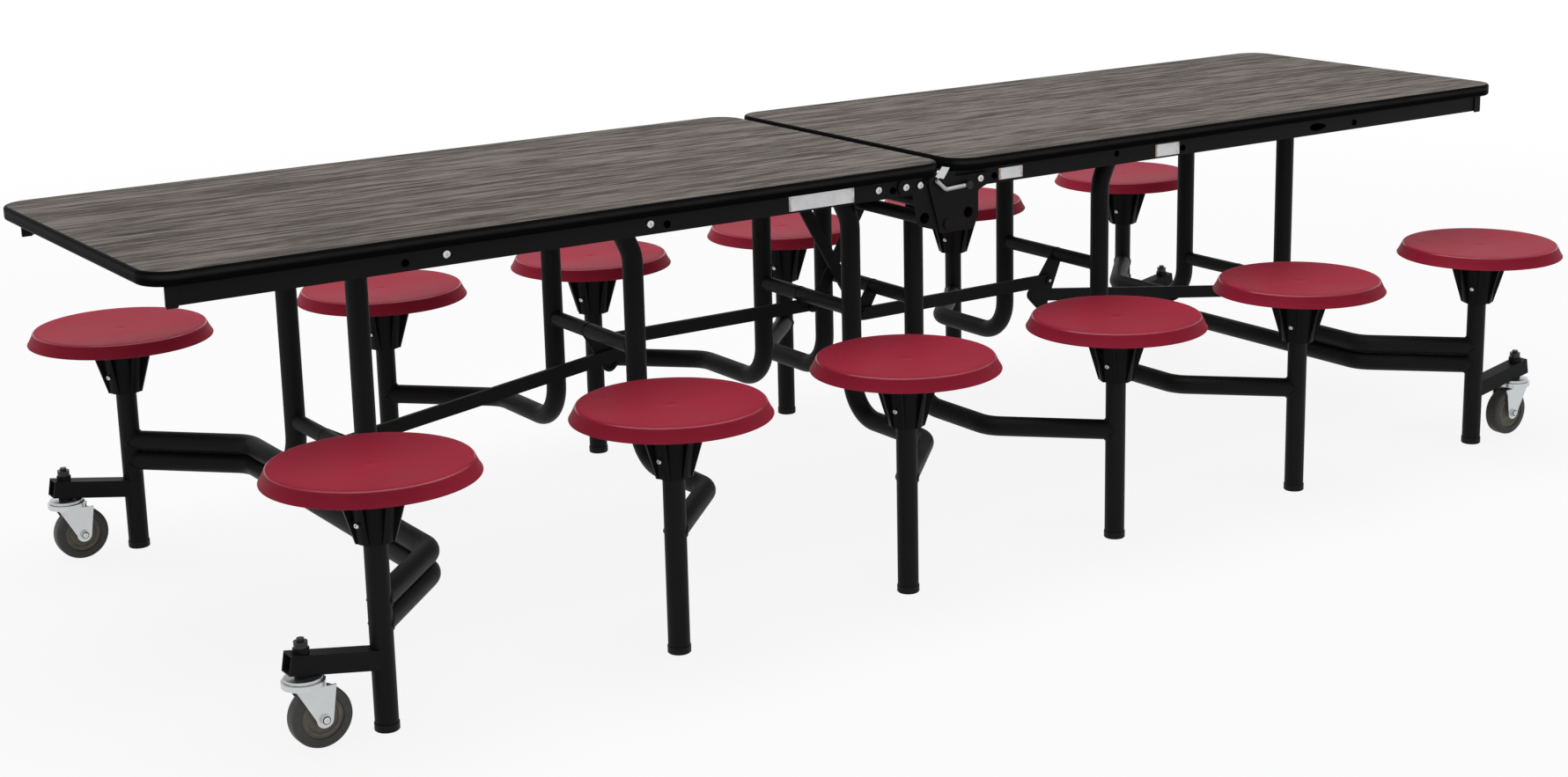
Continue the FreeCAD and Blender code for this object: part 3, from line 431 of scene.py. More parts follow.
def powder_coat(colours):
    """Satin black coat with an orange peel surface, rubbed a little paler in patches."""
    finish = Finish("powder_coat", Specular_IOR_Level=0.10)
    peel = finish.noise((420.0, 420.0, 420.0), detail=2.0)
    cloud = finish.noise((7.0, 7.0, 7.0), detail=4.0)
    dust = finish.noise((900.0, 900.0, 900.0), detail=1.0)
    base = finish.mottle(cloud, 0.35, 0.7, shade(colours.coat, 0.8), shade(colours.coat, 1.5))
    finish.colour(finish.blend(finish.spread(dust, 0.62, 0.8, 0.0, 0.35), base, shade(colours.coat, 4.0)))
    finish.rough(finish.spread(cloud, 0.3, 0.7, 0.46, 0.58))
    finish.bump(peel, 0.16, 0.0003)
    return finish.material


def seat_plastic(name, colours, level, low, high):
    """Maroon moulded plastic with a fine matt grain and faint clouding."""
    finish = Finish(name, Specular_IOR_Level=level)
    grain = finish.noise((1100.0, 1100.0, 1100.0), detail=2.0)
    cloud = finish.noise((9.0, 9.0, 9.0), detail=4.0)
    scuffs = finish.noise((26.0, 140.0, 40.0), detail=4.0, distortion=1.5)
    finish.colour(finish.mottle(cloud, 0.3, 0.7, shade(colours.seat, 0.93), shade(colours.seat, 1.07)))
    clouding = finish.spread(cloud, 0.3, 0.7, low, high)
    finish.rough(finish.math("ADD", clouding, finish.spread(scuffs, 0.6, 0.8, 0.0, 0.05)))
    finish.bump(grain, 0.10, 0.0002)
    return finish.material


def bright_zinc(colours):
    """Bright plating with a faint spangle and rolled streaks, made on first use."""
    if "bright_zinc" in bpy.data.materials:
        return bpy.data.materials["bright_zinc"]
    finish = Finish("bright_zinc", Metallic=1.0)
    spangle = finish.noise((60.0, 60.0, 60.0), detail=3.0)
    rolled = finish.noise((30.0, 30.0, 900.0), detail=2.0)
    finish.colour(finish.mottle(spangle, 0.3, 0.7, shade(colours.zinc, 0.93), colours.zinc))
    finish.rough(finish.spread(finish.math("ADD", spangle, rolled), 0.7, 1.3, 0.27, 0.35))
    finish.bump(rolled, 0.02, 0.0002)
    return finish.material


def latch_finish(colours, pivot):
    """Bright rod with a black boss round its pivot."""
    finish = Finish("latch_rod", Specular_IOR_Level=0.3)
    reach = finish.add("ShaderNodeVectorMath", operation="DISTANCE")
    finish.join(finish.place((1.0, 0.0, 1.0)), reach.inputs[0])
    reach.inputs[1].default_value = (pivot.x, 0.0, pivot.z)
    bright = finish.math("GREATER_THAN", reach.outputs["Value"], LATCH_BOSS_RADIUS)
    drawn = finish.noise((40.0, 700.0, 700.0), detail=2.0)
    metal = finish.mottle(drawn, 0.3, 0.7, shade(colours.zinc, 0.85), colours.zinc)
    finish.colour(finish.blend(bright, colours.coat, metal))
    finish.join(finish.math("MULTIPLY", bright, 0.35), finish.surface.inputs["Metallic"])
    finish.rough(finish.spread(drawn, 0.3, 0.7, 0.20, 0.32))
    finish.bump(drawn, 0.03, 0.0002)
    return finish.material


def stem_finish(colours, split):
    """Caster stem: black nut above the arm, bright race below it."""
    finish = Finish("caster_stem", Specular_IOR_Level=0.4)
    place = finish.add("ShaderNodeTexCoord")
    axes = finish.add("ShaderNodeSeparateXYZ")
    finish.join(place.outputs["Object"], axes.inputs["Vector"])
    plated = finish.math("LESS_THAN", axes.outputs["Z"], split)
    spangle = finish.noise((140.0, 140.0, 140.0), detail=3.0)
    bright = finish.mottle(spangle, 0.3, 0.7, shade(colours.zinc, 0.8), colours.zinc)
    finish.colour(finish.blend(plated, shade(colours.coat, 1.5), bright))
    finish.join(plated, finish.surface.inputs["Metallic"])
    finish.rough(finish.spread(spangle, 0.3, 0.7, 0.26, 0.42))
    thread = finish.add("ShaderNodeTexWave", bands_direction="Z")
    thread.inputs["Scale"].default_value = 200.0
    finish.join(place.outputs["Object"], thread.inputs["Vector"])
    finish.bump(thread.outputs["Fac"], 0.15, 0.0004)
    return finish.material


def wheel_rubber(colours):
    """Grey tyre rubber, dusty on its tread."""
    finish = Finish("wheel_rubber", Specular_IOR_Level=0.16)
    dust = finish.noise((40.0, 40.0, 40.0), detail=5.0)
    fine = finish.noise((800.0, 800.0, 800.0), detail=2.0)
    finish.colour(finish.mottle(dust, 0.35, 0.75, shade(colours.tyre, 0.9), shade(colours.tyre, 1.25)))
    finish.rough(finish.spread(dust, 0.3, 0.7, 0.42, 0.60))
    finish.bump(fine, 0.12, 0.0003)
    return finish.material


def wheel_plastic(colours):
    """Hard plastic of a wheel's core, faintly clouded."""
    finish = Finish("wheel_plastic", Specular_IOR_Level=0.16)
    cloud = finish.noise((55.0, 55.0, 55.0), detail=4.0)
    finish.colour(finish.mottle(cloud, 0.3, 0.7, shade(colours.core, 0.8), shade(colours.core, 1.15)))
    finish.rough(finish.spread(cloud, 0.3, 0.7, 0.38, 0.52))
    finish.bump(cloud, 0.10, 0.0003)
    return finish.material


def bare_plate(name, colours, middle, half_length):
    """Rolled sheet of a label plate with nothing on it, stained towards its ends."""
    finish = Finish(name, Metallic=0.60)
    rolled = finish.noise((25.0, 25.0, 1400.0), detail=3.0)
    cloud = finish.noise((35.0, 35.0, 35.0), detail=4.0)
    axes = finish.add("ShaderNodeSeparateXYZ")
    finish.join(finish.place((1.0, 1.0, 1.0)), axes.inputs["Vector"])
    reach = finish.math("ABSOLUTE", finish.math("SUBTRACT", axes.outputs["X"], middle), 0.0)
    edge = finish.spread(reach, half_length - 0.006, half_length - 0.003, 0.0, 0.8)
    stain = finish.math("MULTIPLY", edge, finish.spread(cloud, 0.40, 0.55, 0.0, 1.0))
    sheet = finish.mottle(cloud, 0.3, 0.7, shade(colours.zinc, 1.10), shade(colours.zinc, 1.30))
    finish.colour(finish.blend(stain, sheet, colours.stain))
    finish.rough(finish.spread(rolled, 0.3, 0.7, 0.34, 0.50))
    finish.bump(rolled, 0.10, 0.0002)
    return finish.material


def dress_nodes(names, finish):
    """Gives CAD nodes a better material."""
    for name in names:
        for slot in NODES[name].material_slots:
            slot.material = finish


# Mesh helpers

def finished_piece(name, mesh, body, finish, smooth_angle=35.0):
    """Links a mesh as a piece of the table that moves with a body."""
    for polygon in mesh.polygons:
        polygon.use_smooth = True
    mesh.set_sharp_from_angle(angle=math.radians(smooth_angle))
    if finish is not None:
        mesh.materials.clear()
        mesh.materials.append(finish)
    piece = bpy.data.objects.new(name, mesh)
    bpy.context.scene.collection.objects.link(piece)
    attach(piece, body)
    return piece


def mesh_from(bm, name):
    """Merges doubles, turns the faces outwards and returns a mesh."""
    bmesh.ops.remove_doubles(bm, verts=bm.verts, dist=1e-6)
    bmesh.ops.recalc_face_normals(bm, faces=bm.faces)
    mesh = bpy.data.meshes.new(name)
    bm.to_mesh(mesh)
    bm.free()
    return mesh


def lathe(bm, profile, centre, axis, steps):
    """Turns a closed outline of (radius, height) points about an axis through centre."""
    axis = Vector(axis)
    across = axis.orthogonal().normalized()
    along = axis.cross(across)
    rings = []
    for radius, height in profile:
        middle = Vector(centre) + axis * height
        if radius < 1e-7:
            rings.append([bm.verts.new(middle)] * steps)
            continue
        ring = []
        for step in range(steps):
            angle = 2 * math.pi * step / steps
            spoke = across * math.cos(angle) + along * math.sin(angle)
            ring.append(bm.verts.new(middle + spoke * radius))
        rings.append(ring)
    for low, high in zip(rings, rings[1:] + rings[:1]):
        for step in range(steps):
            following = (step + 1) % steps
            corners = [low[step], low[following], high[following], high[step]]
            unique = list(dict.fromkeys(corners))
            if len(unique) > 2:
                bm.faces.new(unique)


def bevelled_plate(bm, corners, thickness, bevel):
    """A plate on four or more corners, thickened along its normal, with its edges eased."""
    made = bmesh.ops.extrude_face_region(bm, geom=[bm.faces.new([bm.verts.new(c) for c in corners])])
    moved = [item for item in made["geom"] if isinstance(item, bmesh.types.BMVert)]
    first, second, third = [Vector(corner) for corner in corners[:3]]
    normal = (second - first).cross(third - second).normalized()
    bmesh.ops.translate(bm, verts=moved, vec=normal * thickness)
    island = set(moved)
    for vert in moved:
        island.update(edge.other_vert(vert) for edge in vert.link_edges)
    edges = {edge for vert in island for edge in vert.link_edges}
    bmesh.ops.bevel(bm, geom=list(edges), offset=bevel, segments=2, affect="EDGES")


def plate_piece(name, outlines, thickness, bevel, body, finish):
    """One piece of bevelled plates on a body."""
    bm = bmesh.new()
    for corners in outlines:
        bevelled_plate(bm, corners, thickness, bevel)
    return finished_piece(name, mesh_from(bm, name), body, finish)


def rectangle(x0, x1, y, z0, z1):
    """Corners of an upright rectangle at depth y."""
    return [(x0, y, z0), (x1, y, z0), (x1, y, z1), (x0, y, z1)]


# Geometry Nodes helpers

class NodeRecipe(NodeTree):
    """A Geometry Nodes tree being built, with named inputs."""

    def __init__(self, name):
        super().__init__(bpy.data.node_groups.new(name, "GeometryNodeTree"))
        self.tree.interface.new_socket("Geometry", in_out="INPUT", socket_type="NodeSocketGeometry")
        self.tree.interface.new_socket("Geometry", in_out="OUTPUT", socket_type="NodeSocketGeometry")
        self.source = self.tree.nodes.new("NodeGroupInput")
        self.result = self.tree.nodes.new("NodeGroupOutput")

    def input(self, name, kind, default=None):
        """A named input of the tree."""
        socket = self.tree.interface.new_socket(name, in_out="INPUT", socket_type=kind)
        if default is not None:
            socket.default_value = default
        return self.source.outputs[name]

    def backed(self, face, walls):
        """Closes the open back of an extruded face with the face itself, turned over."""
        back = self.add("GeometryNodeFlipFaces")
        whole = self.add("GeometryNodeJoinGeometry")
        merged = self.add("GeometryNodeMergeByDistance")
        merged.inputs["Distance"].default_value = 1e-6
        self.join(face, back.inputs["Mesh"])
        self.join(walls, whole.inputs["Geometry"])
        self.join(back.outputs["Mesh"], whole.inputs["Geometry"])
        self.join(whole.outputs["Geometry"], merged.inputs["Geometry"])
        return merged.outputs["Geometry"]

    def on_points(self, shape, turn, finish):
        """Ends the tree with the shape on each point, turned so that it follows the point's axis."""
        direction = self.add("GeometryNodeInputNamedAttribute", data_type="FLOAT_VECTOR")
        direction.inputs["Name"].default_value = "axis"
        self.join(direction.outputs["Attribute"], turn.inputs["Vector"])
        spread = self.add("GeometryNodeInstanceOnPoints")
        self.join(self.source.outputs["Geometry"], spread.inputs["Points"])
        self.join(shape, spread.inputs["Instance"])
        self.join(turn.outputs["Rotation"], spread.inputs["Rotation"])
        return self.close(spread.outputs["Instances"], finish)

    def close(self, geometry, finish):
        """Ends the tree in real geometry with a material."""
        real = self.add("GeometryNodeRealizeInstances")
        painted = self.add("GeometryNodeSetMaterial")
        self.join(geometry, real.inputs["Geometry"])
        self.join(real.outputs["Geometry"], painted.inputs["Geometry"])
        self.join(finish, painted.inputs["Material"])
        self.join(painted.outputs["Geometry"], self.result.inputs["Geometry"])
        return self.tree


def bolt_recipe():
    """A domed bolt head with a socket, set on each point along its axis."""
    recipe = NodeRecipe("bolt_heads")
    radius = recipe.input("Head Radius", "NodeSocketFloat", 0.008)
    height = recipe.input("Head Height", "NodeSocketFloat", 0.004)
    socket = recipe.input("Socket Share", "NodeSocketFloat", 0.45)
    sides = recipe.input("Sides", "NodeSocketInt", 24)
    finish = recipe.input("Finish", "NodeSocketMaterial")
    disc = recipe.add("GeometryNodeMeshCircle", fill_type="NGON")
    recipe.join(sides, disc.inputs["Vertices"])
    recipe.join(radius, disc.inputs["Radius"])
    shape = disc.outputs["Mesh"]
    top = None
    # Each step lifts the top face by a share of the head's height, then narrows it
    steps = ((0.55, 1.0), (0.30, 0.90), (0.15, 0.78), (0.0, None), (-0.55, 0.95))
    for lift, narrow in steps:
        pull = recipe.add("GeometryNodeExtrudeMesh", mode="FACES")
        recipe.join(shape, pull.inputs["Mesh"])
        recipe.join(recipe.math("MULTIPLY", height, lift), pull.inputs["Offset Scale"])
        if top is not None:
            recipe.join(top, pull.inputs["Selection"])
        top = pull.outputs["Top"]
        squeeze = recipe.add("GeometryNodeScaleElements")
        recipe.join(pull.outputs["Mesh"], squeeze.inputs["Geometry"])
        recipe.join(top, squeeze.inputs["Selection"])
        if narrow is None:
            recipe.join(socket, squeeze.inputs["Scale"])
        else:
            squeeze.inputs["Scale"].default_value = narrow
        shape = squeeze.outputs["Geometry"]
    turn = recipe.add("FunctionNodeAlignRotationToVector", axis="Z")
    return recipe.on_points(recipe.backed(disc.outputs["Mesh"], shape), turn, finish)


def weld_recipe():
    """A rippled bead along each closed line of the mesh."""
    recipe = NodeRecipe("weld_beads")
    radius = recipe.input("Bead Radius", "NodeSocketFloat", 0.0026)
    ripple = recipe.input("Ripple", "NodeSocketFloat", 0.0009)
    finish = recipe.input("Finish", "NodeSocketMaterial")
    line = recipe.add("GeometryNodeMeshToCurve")
    recipe.join(recipe.source.outputs["Geometry"], line.inputs["Mesh"])
    profile = recipe.add("GeometryNodeCurvePrimitiveCircle")
    profile.inputs["Resolution"].default_value = 8
    recipe.join(radius, profile.inputs["Radius"])
    bead = recipe.add("GeometryNodeCurveToMesh")
    recipe.join(line.outputs["Curve"], bead.inputs["Curve"])
    recipe.join(profile.outputs["Curve"], bead.inputs["Profile Curve"])
    wave = recipe.add("ShaderNodeTexNoise")
    wave.inputs["Scale"].default_value = 260.0
    wave.inputs["Detail"].default_value = 1.0
    depth = recipe.math("MULTIPLY", recipe.math("SUBTRACT", wave.outputs["Fac"], 0.5), ripple)
    normal = recipe.add("GeometryNodeInputNormal")
    push = recipe.add("ShaderNodeVectorMath", operation="SCALE")
    recipe.join(normal.outputs["Normal"], push.inputs["Vector"])
    recipe.join(depth, push.inputs["Scale"])
    moved = recipe.add("GeometryNodeSetPosition")
    recipe.join(bead.outputs["Mesh"], moved.inputs["Geometry"])
    recipe.join(push.outputs["Vector"], moved.inputs["Offset"])
    return recipe.close(moved.outputs["Geometry"], finish)


def rib_recipe():
    """A tapered rib on each point, pointing along its axis and hanging down.

    Its corners are shares of the length and the depth. It is drawn flat and then stood up.
    """
    recipe = NodeRecipe("seat_ribs")
    length = recipe.input("Length", "NodeSocketFloat", 0.10)
    depth = recipe.input("Depth", "NodeSocketFloat", 0.012)
    thickness = recipe.input("Thickness", "NodeSocketFloat", 0.002)
    finish = recipe.input("Finish", "NodeSocketMaterial")
    outline = recipe.add("GeometryNodeCurvePrimitiveQuadrilateral", mode="POINTS")
    corners = ((0.0, 0.0), (1.0, 0.28), (1.09, -0.70), (0.0, -0.25))
    for number, (reach, drop) in enumerate(corners):
        corner = recipe.add("ShaderNodeCombineXYZ")
        recipe.join(recipe.math("MULTIPLY", length, reach), corner.inputs["X"])
        recipe.join(recipe.math("MULTIPLY", depth, drop), corner.inputs["Y"])
        recipe.join(corner.outputs["Vector"], outline.inputs["Point %d" % (number + 1)])
    filled = recipe.add("GeometryNodeFillCurve", mode="NGONS")
    thick = recipe.add("GeometryNodeExtrudeMesh", mode="FACES")
    recipe.join(outline.outputs["Curve"], filled.inputs["Curve"])
    recipe.join(filled.outputs["Mesh"], thick.inputs["Mesh"])
    recipe.join(thickness, thick.inputs["Offset Scale"])
    upright = recipe.add("GeometryNodeTransform")
    upright.inputs["Rotation"].default_value = (math.pi / 2, 0.0, 0.0)
    recipe.join(recipe.backed(filled.outputs["Mesh"], thick.outputs["Mesh"]), upright.inputs["Geometry"])
    turn = recipe.add("FunctionNodeAlignRotationToVector", axis="X", pivot_axis="Z")
    return recipe.on_points(upright.outputs["Geometry"], turn, finish)


def grown_mesh(name, seed_mesh, recipe, values):
    """Runs a node tree on a seed mesh and returns the plain mesh that it grows."""
    tree = bpy.data.node_groups.get(recipe.__name__) or recipe()
    tree.name = recipe.__name__
    seed = bpy.data.objects.new(name + "_seed", seed_mesh)
    bpy.context.scene.collection.objects.link(seed)
    modifier = seed.modifiers.new("grow", "NODES")
    modifier.node_group = tree
    for item in tree.interface.items_tree:
        if item.in_out == "INPUT" and item.name in values:
            modifier[item.identifier] = values[item.name]
    evaluated = seed.evaluated_get(bpy.context.evaluated_depsgraph_get())
    mesh = bpy.data.meshes.new_from_object(evaluated)
    seed.modifiers.remove(modifier)
    bpy.data.objects.remove(seed)
    mesh.name = name
    return mesh


def point_seed(name, places):
    """A mesh of loose points, each with the axis that its fitting points along."""
    mesh = bpy.data.meshes.new(name)
    mesh.from_pydata([place for place, axis in places], [], [])
    attribute = mesh.attributes.new("axis", "FLOAT_VECTOR", "POINT")
    for entry, (place, axis) in zip(attribute.data, places):
        entry.vector = axis
    return mesh


def bolts(name, places, body, finish, head, share=0.45, sides=24):
    """One piece of bolt heads on a body. A head is its radius and height."""
    values = {"Head Radius": head[0], "Head Height": head[1], "Socket Share": share, "Sides": sides,
              "Finish": finish}
    mesh = grown_mesh(name, point_seed(name, places), bolt_recipe, values)
    return finished_piece(name, mesh, body, None)


# Places read from the frame

def stools(half, kind):
    """Centres of a frame's two seats, their radius, and the seats' lowest and highest points."""
    low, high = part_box(half + "_" + kind + "_seats")
    radius = (high.x - low.x) / 2
    x = (low.x + high.x) / 2
    return [Vector((x, low.y + radius, 0)), Vector((x, high.y - radius, 0))], radius, low.z, high.z


def frame_body(half, kind):
    """The body of one frame."""
    return half + "_" + kind + "_frame"


def frames():
    """Each half with each kind of frame."""
    for half in HALVES:
        for kind in KINDS:
            yield half, kind


def casters():
    """The name that each caster's nodes and bodies start with."""
    for half in HALVES:
        for corner in CORNERS:
            yield half + "_" + corner + "_caster"


# Operators, one for each group of pieces

class TABLE_OT_tops(bpy.types.Operator):
    """Laminate, board and edge band of both halves"""

    bl_idname = "table.tops"
    bl_label = "Tops"

    def execute(self, context):
        colours = context.scene.table_colours
        dress_nodes([half + "_laminate" for half in HALVES], streaked_laminate(colours))
        dress_nodes([half + "_board" for half in HALVES], pressed_board(colours))
        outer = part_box("left_edge_band")[1]
        band = edge_vinyl(colours.band, colours.band_highlight, outer.y, outer.z)
        dress_nodes([half + "_edge_band" for half in HALVES], band)
        return {"FINISHED"}


class TABLE_OT_frames(bpy.types.Operator):
    """Powder coat on the frames, rails, hinges and links, with their weld beads"""

    bl_idname = "table.frames"
    bl_label = "Frames"

    def saddle(self, place, direction, branch, trunk, steps=40):
        """The closed line where a round branch tube meets a round upright tube."""
        direction = Vector(direction).normalized()
        across = direction.cross(Vector((0, 0, 1))).normalized()
        line = []
        for step in range(steps):
            angle = 2 * math.pi * step / steps
            aside = branch * math.cos(angle)
            reach = math.sqrt(max(trunk ** 2 - aside ** 2, 0.0))
            rise = Vector((0, 0, branch * math.sin(angle)))
            line.append(place + across * aside + rise + direction * reach)
        return line

    def joints(self, half, kind):
        """Weld lines of one frame: arms on their posts and the cross tube on the legs."""
        centres = stools(half, kind)[0]
        arm_heights = (ARM_Z, LOWER_ARM_Z) if kind == "caster" else (ARM_Z,)
        leg_x = centres[0].x - OUTWARD[half] * STOOL_OFFSET
        lines = []
        for centre in centres:
            side = math.copysign(1, centre.y)
            inward = Vector((-OUTWARD[half], -side, 0))
            for z in arm_heights:
                post = Vector((centre.x, centre.y, z))
                lines.append(self.saddle(post, inward, TUBE_RADIUS, TUBE_RADIUS))
            leg = Vector((leg_x, side * LEG_Y, CROSS_TUBE_Z[kind]))
            lines.append(self.saddle(leg, (0, -side, 0), CROSS_TUBE_RADIUS, TUBE_RADIUS))
        return lines

    def execute(self, context):
        colours = context.scene.table_colours
        sizes = context.scene.table_sizes
        coat = powder_coat(colours)
        kinds = ("side_rails", "hinge_frame", "inner_link_bar", "outer_link_bar", "brace")
        dress_nodes([half + "_" + kind for half in HALVES for kind in kinds], coat)
        dress_nodes([half + "_" + kind + "_frame" for half, kind in frames()], coat)
        dress_nodes(["hinge_pins"], coat)
        # The rods' near-black is partly painted shade of their recessed ends
        rod_and_hole_black = black_plastic("oiled_rod", colours.rod_and_hole_shade, 600.0, 0.0, 0.5, 0.7)
        dress_nodes([half + "_pivot_rods" for half in HALVES], rod_and_hole_black)
        values = {"Bead Radius": sizes.weld_bead, "Ripple": sizes.weld_ripple, "Finish": coat}
        for half, kind in frames():
            name = half + "_" + kind + "_welds"
            seed = bpy.data.meshes.new(name)
            points = []
            edges = []
            for line in self.joints(half, kind):
                first = len(points)
                points += line
                count = len(line)
                edges += [(first + step, first + (step + 1) % count) for step in range(count)]
            seed.from_pydata(points, edges, [])
            mesh = grown_mesh(name, seed, weld_recipe, values)
            finished_piece(name, mesh, frame_body(half, kind), None, 60.0)
        return {"FINISHED"}


class TABLE_OT_seats(bpy.types.Operator):
    """Moulded seats with dished tops, sloped rims and ribbed undersides"""

    bl_idname = "table.seats"
    bl_label = "Seats"

    def outline(self, radius, top, bottom, sizes):
        """Half section of a seat as (radius, height), from the middle of the top round to the underside."""
        edge = radius - sizes.seat_edge
        rounding = sizes.seat_round
        crown = edge - rounding
        floor = top - sizes.seat_dish
        points = [(0.0, floor - 0.0005), (0.0035, floor - 0.0005), (0.0055, floor)]
        for share in (0.12, 0.25, 0.40, 0.55, 0.70, 0.82, 0.92, 1.0):
            points.append((crown * share, top - sizes.seat_dish * (1 - share ** 2) ** 1.3))
        slope = math.atan2(sizes.seat_edge, top - bottom)
        for step in range(1, 9):
            turn = step / 8 * (math.pi / 2 - slope)
            points.append((crown + rounding * math.sin(turn), top - rounding * (1 - math.cos(turn))))
        start = Vector(points[-1])
        lip = Vector((radius - 0.0006, bottom + 0.0022))
        for share in (0.3, 0.6, 0.85):
            hollow = 0.0006 * math.sin(math.pi * share)
            across, height = start.lerp(lip, share)
            points.append((across - hollow, height))
        points += [tuple(lip), (radius, bottom + 0.0014), (radius - 0.0003, bottom + 0.0005),
                   (radius - 0.0012, bottom)]
        wall = sizes.seat_wall
        points += [(radius - wall + 0.001, bottom), (radius - wall, bottom + 0.001),
                   (edge - wall, top - wall - 0.002), (edge - wall - 0.006, top - wall),
                   (sizes.seat_flat, floor - wall), (0.0, floor - wall)]
        return points

    def polish(self, mesh, polished, top):
        """Gives the turned lip between top and rim the polish that hands and clothes leave."""
        mesh.materials.append(polished)
        least, most = POLISHED_SLOPE
        for polygon in mesh.polygons:
            if polygon.center.z > top - POLISH_DEPTH and least < polygon.normal.z < most:
                polygon.material_index = 1

    def execute(self, context):
        colours = context.scene.table_colours
        sizes = context.scene.table_sizes
        plastic = seat_plastic("seat_plastic", colours, 0.055, 0.46, 0.54)
        polished = seat_plastic("polished_lip", colours, 0.32, 0.22, 0.28)
        gate = [(0.0, 0.0006), (0.0014, 0.0005), (0.0022, 0.0), (0.0022, -0.003), (0.0, -0.003)]
        for half, kind in frames():
            centres, radius, bottom, top = stools(half, kind)
            bm = bmesh.new()
            ribs = []
            for centre in centres:
                lathe(bm, self.outline(radius, top, bottom, sizes), centre, (0, 0, 1), 128)
                middle = centre + Vector((0, 0, top))
                lathe(bm, gate, middle + GATE_MARK, (0, 0, 1), 16)
                for number in range(sizes.seat_ribs):
                    angle = 2 * math.pi * (number + 0.5) / sizes.seat_ribs
                    spoke = Vector((math.cos(angle), math.sin(angle), 0))
                    ribs.append((middle + RIB_TOP + spoke * sizes.seat_flat, spoke))
            stem = half + "_" + kind
            body = frame_body(half, kind)
            name = stem + "_moulded_seats"
            piece = finished_piece(name, mesh_from(bm, name), body, plastic)
            self.polish(piece.data, polished, top)
            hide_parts(stem + "_seats")
            name = stem + "_seat_ribs"
            mesh = grown_mesh(name, point_seed(name, ribs), rib_recipe, {**RIB_VALUES, "Finish": plastic})
            finished_piece(name, mesh, body, None)
        return {"FINISHED"}


class TABLE_OT_hubs(bpy.types.Operator):
    """Ribbed seat mounts with their through bolts, and the foot glides"""

    bl_idname = "table.hubs"
    bl_label = "Hubs and glides"

    def execute(self, context):
        colours = context.scene.table_colours
        sizes = context.scene.table_sizes
        hub = black_plastic("hub_plastic", colours.hub, 500.0, 0.08, 0.36, 0.48)
        foot = black_plastic("glide_nylon", colours.glide, 350.0, 0.14, 0.45, 0.6)
        zinc = bright_zinc(colours)
        head = (sizes.hub_bolt, sizes.hub_bolt_height)
        for half, kind in frames():
            stem = half + "_" + kind
            dress_nodes([stem + "_seat_mounts"], hub)
            dress_nodes([stem + "_glides"], foot)
            rise = Vector((0, 0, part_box(stem + "_seat_mounts")[0].z + sizes.hub_bolt_rise))
            places = []
            for centre in stools(half, kind)[0]:
                for axis in (-HUB_BOLT_AXIS, HUB_BOLT_AXIS):
                    places.append((centre + axis * HUB_RADIUS + rise, axis))
            bolts(stem + "_hub_bolts", places, frame_body(half, kind), zinc, head)
        return {"FINISHED"}


class TABLE_OT_casters(bpy.types.Operator):
    """Plated forks and axles, and wheels with a grey tyre round an olive core"""

    bl_idname = "table.casters"
    bl_label = "Casters"

    def execute(self, context):
        colours = context.scene.table_colours
        zinc = bright_zinc(colours)
        coat = bpy.data.materials["powder_coat"]
        rubber = wheel_rubber(colours)
        plastic = wheel_plastic(colours)
        low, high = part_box("right_caster_stems")
        stem = stem_finish(colours, low.z + 0.4 * (high.z - low.z))
        dress_nodes([half + "_caster_stems" for half in HALVES], stem)
        for caster in casters():
            dress_nodes([caster + "_fork", caster + "_axle"], zinc)
            wheel = caster + "_wheel"
            low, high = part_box(wheel)
            centre = (low + high) / 2
            radius = (high.z - low.z) / 2
            tyre = self.ring(caster + "_tyre", self.tyre_side(radius), centre, 96, wheel, rubber)
            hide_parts(wheel)
            side = self.core_side(radius, (high.y - low.y) / 2)
            self.ring(caster + "_core", side, centre, 64, wheel, plastic)
            low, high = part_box(caster + "_axle")
            ends = [((centre.x, low.y, centre.z), (0, -1, 0)), ((centre.x, high.y, centre.z), (0, 1, 0))]
            # A coat-black ring round each axle head is painted shade of the hollow round the head
            bolts(caster + "_axle_shade_rings", ends, caster + "_fork", coat, AXLE_SHADE_RING, 0.9, 18)
            bolts(caster + "_axle_heads", ends, caster + "_fork", zinc, AXLE_HEAD, 0.5, 18)
        return {"FINISHED"}

    def tyre_side(self, radius):
        """One side of a tyre as (radius, depth), from the core out to the tread."""
        side = -TREAD_HALF_WIDTH
        return [(radius * TYRE_SEAT, side + 0.0032), (radius * 0.70, side + 0.0006),
                (radius * 0.86, side), (radius * 0.93, side + 0.0009),
                (radius * 0.975, side + 0.0030), (radius * 0.995, side + 0.0062),
                (radius, side + 0.0095)]

    def core_side(self, radius, boss):
        """One side of a core as (radius, depth), from its bore over the boss and web to the tyre."""
        return [(0.0050, -boss), (0.0092, -boss), (0.0098, -boss + 0.0008), (0.0104, -0.0100),
                (0.0120, -0.0088), (0.0245, -0.0088), (0.0258, -0.0098), (0.0266, -0.0122),
                (0.0296, -0.0130), (0.0312, -0.0118), (radius * TYRE_SEAT, -0.0118)]

    def ring(self, name, side, centre, steps, body, finish):
        """A ring with two like sides, turned about the wheel's axle."""
        bm = bmesh.new()
        lathe(bm, side + [(reach, -depth) for reach, depth in reversed(side)], centre, (0, 1, 0), steps)
        return finished_piece(name, mesh_from(bm, name), body, finish)


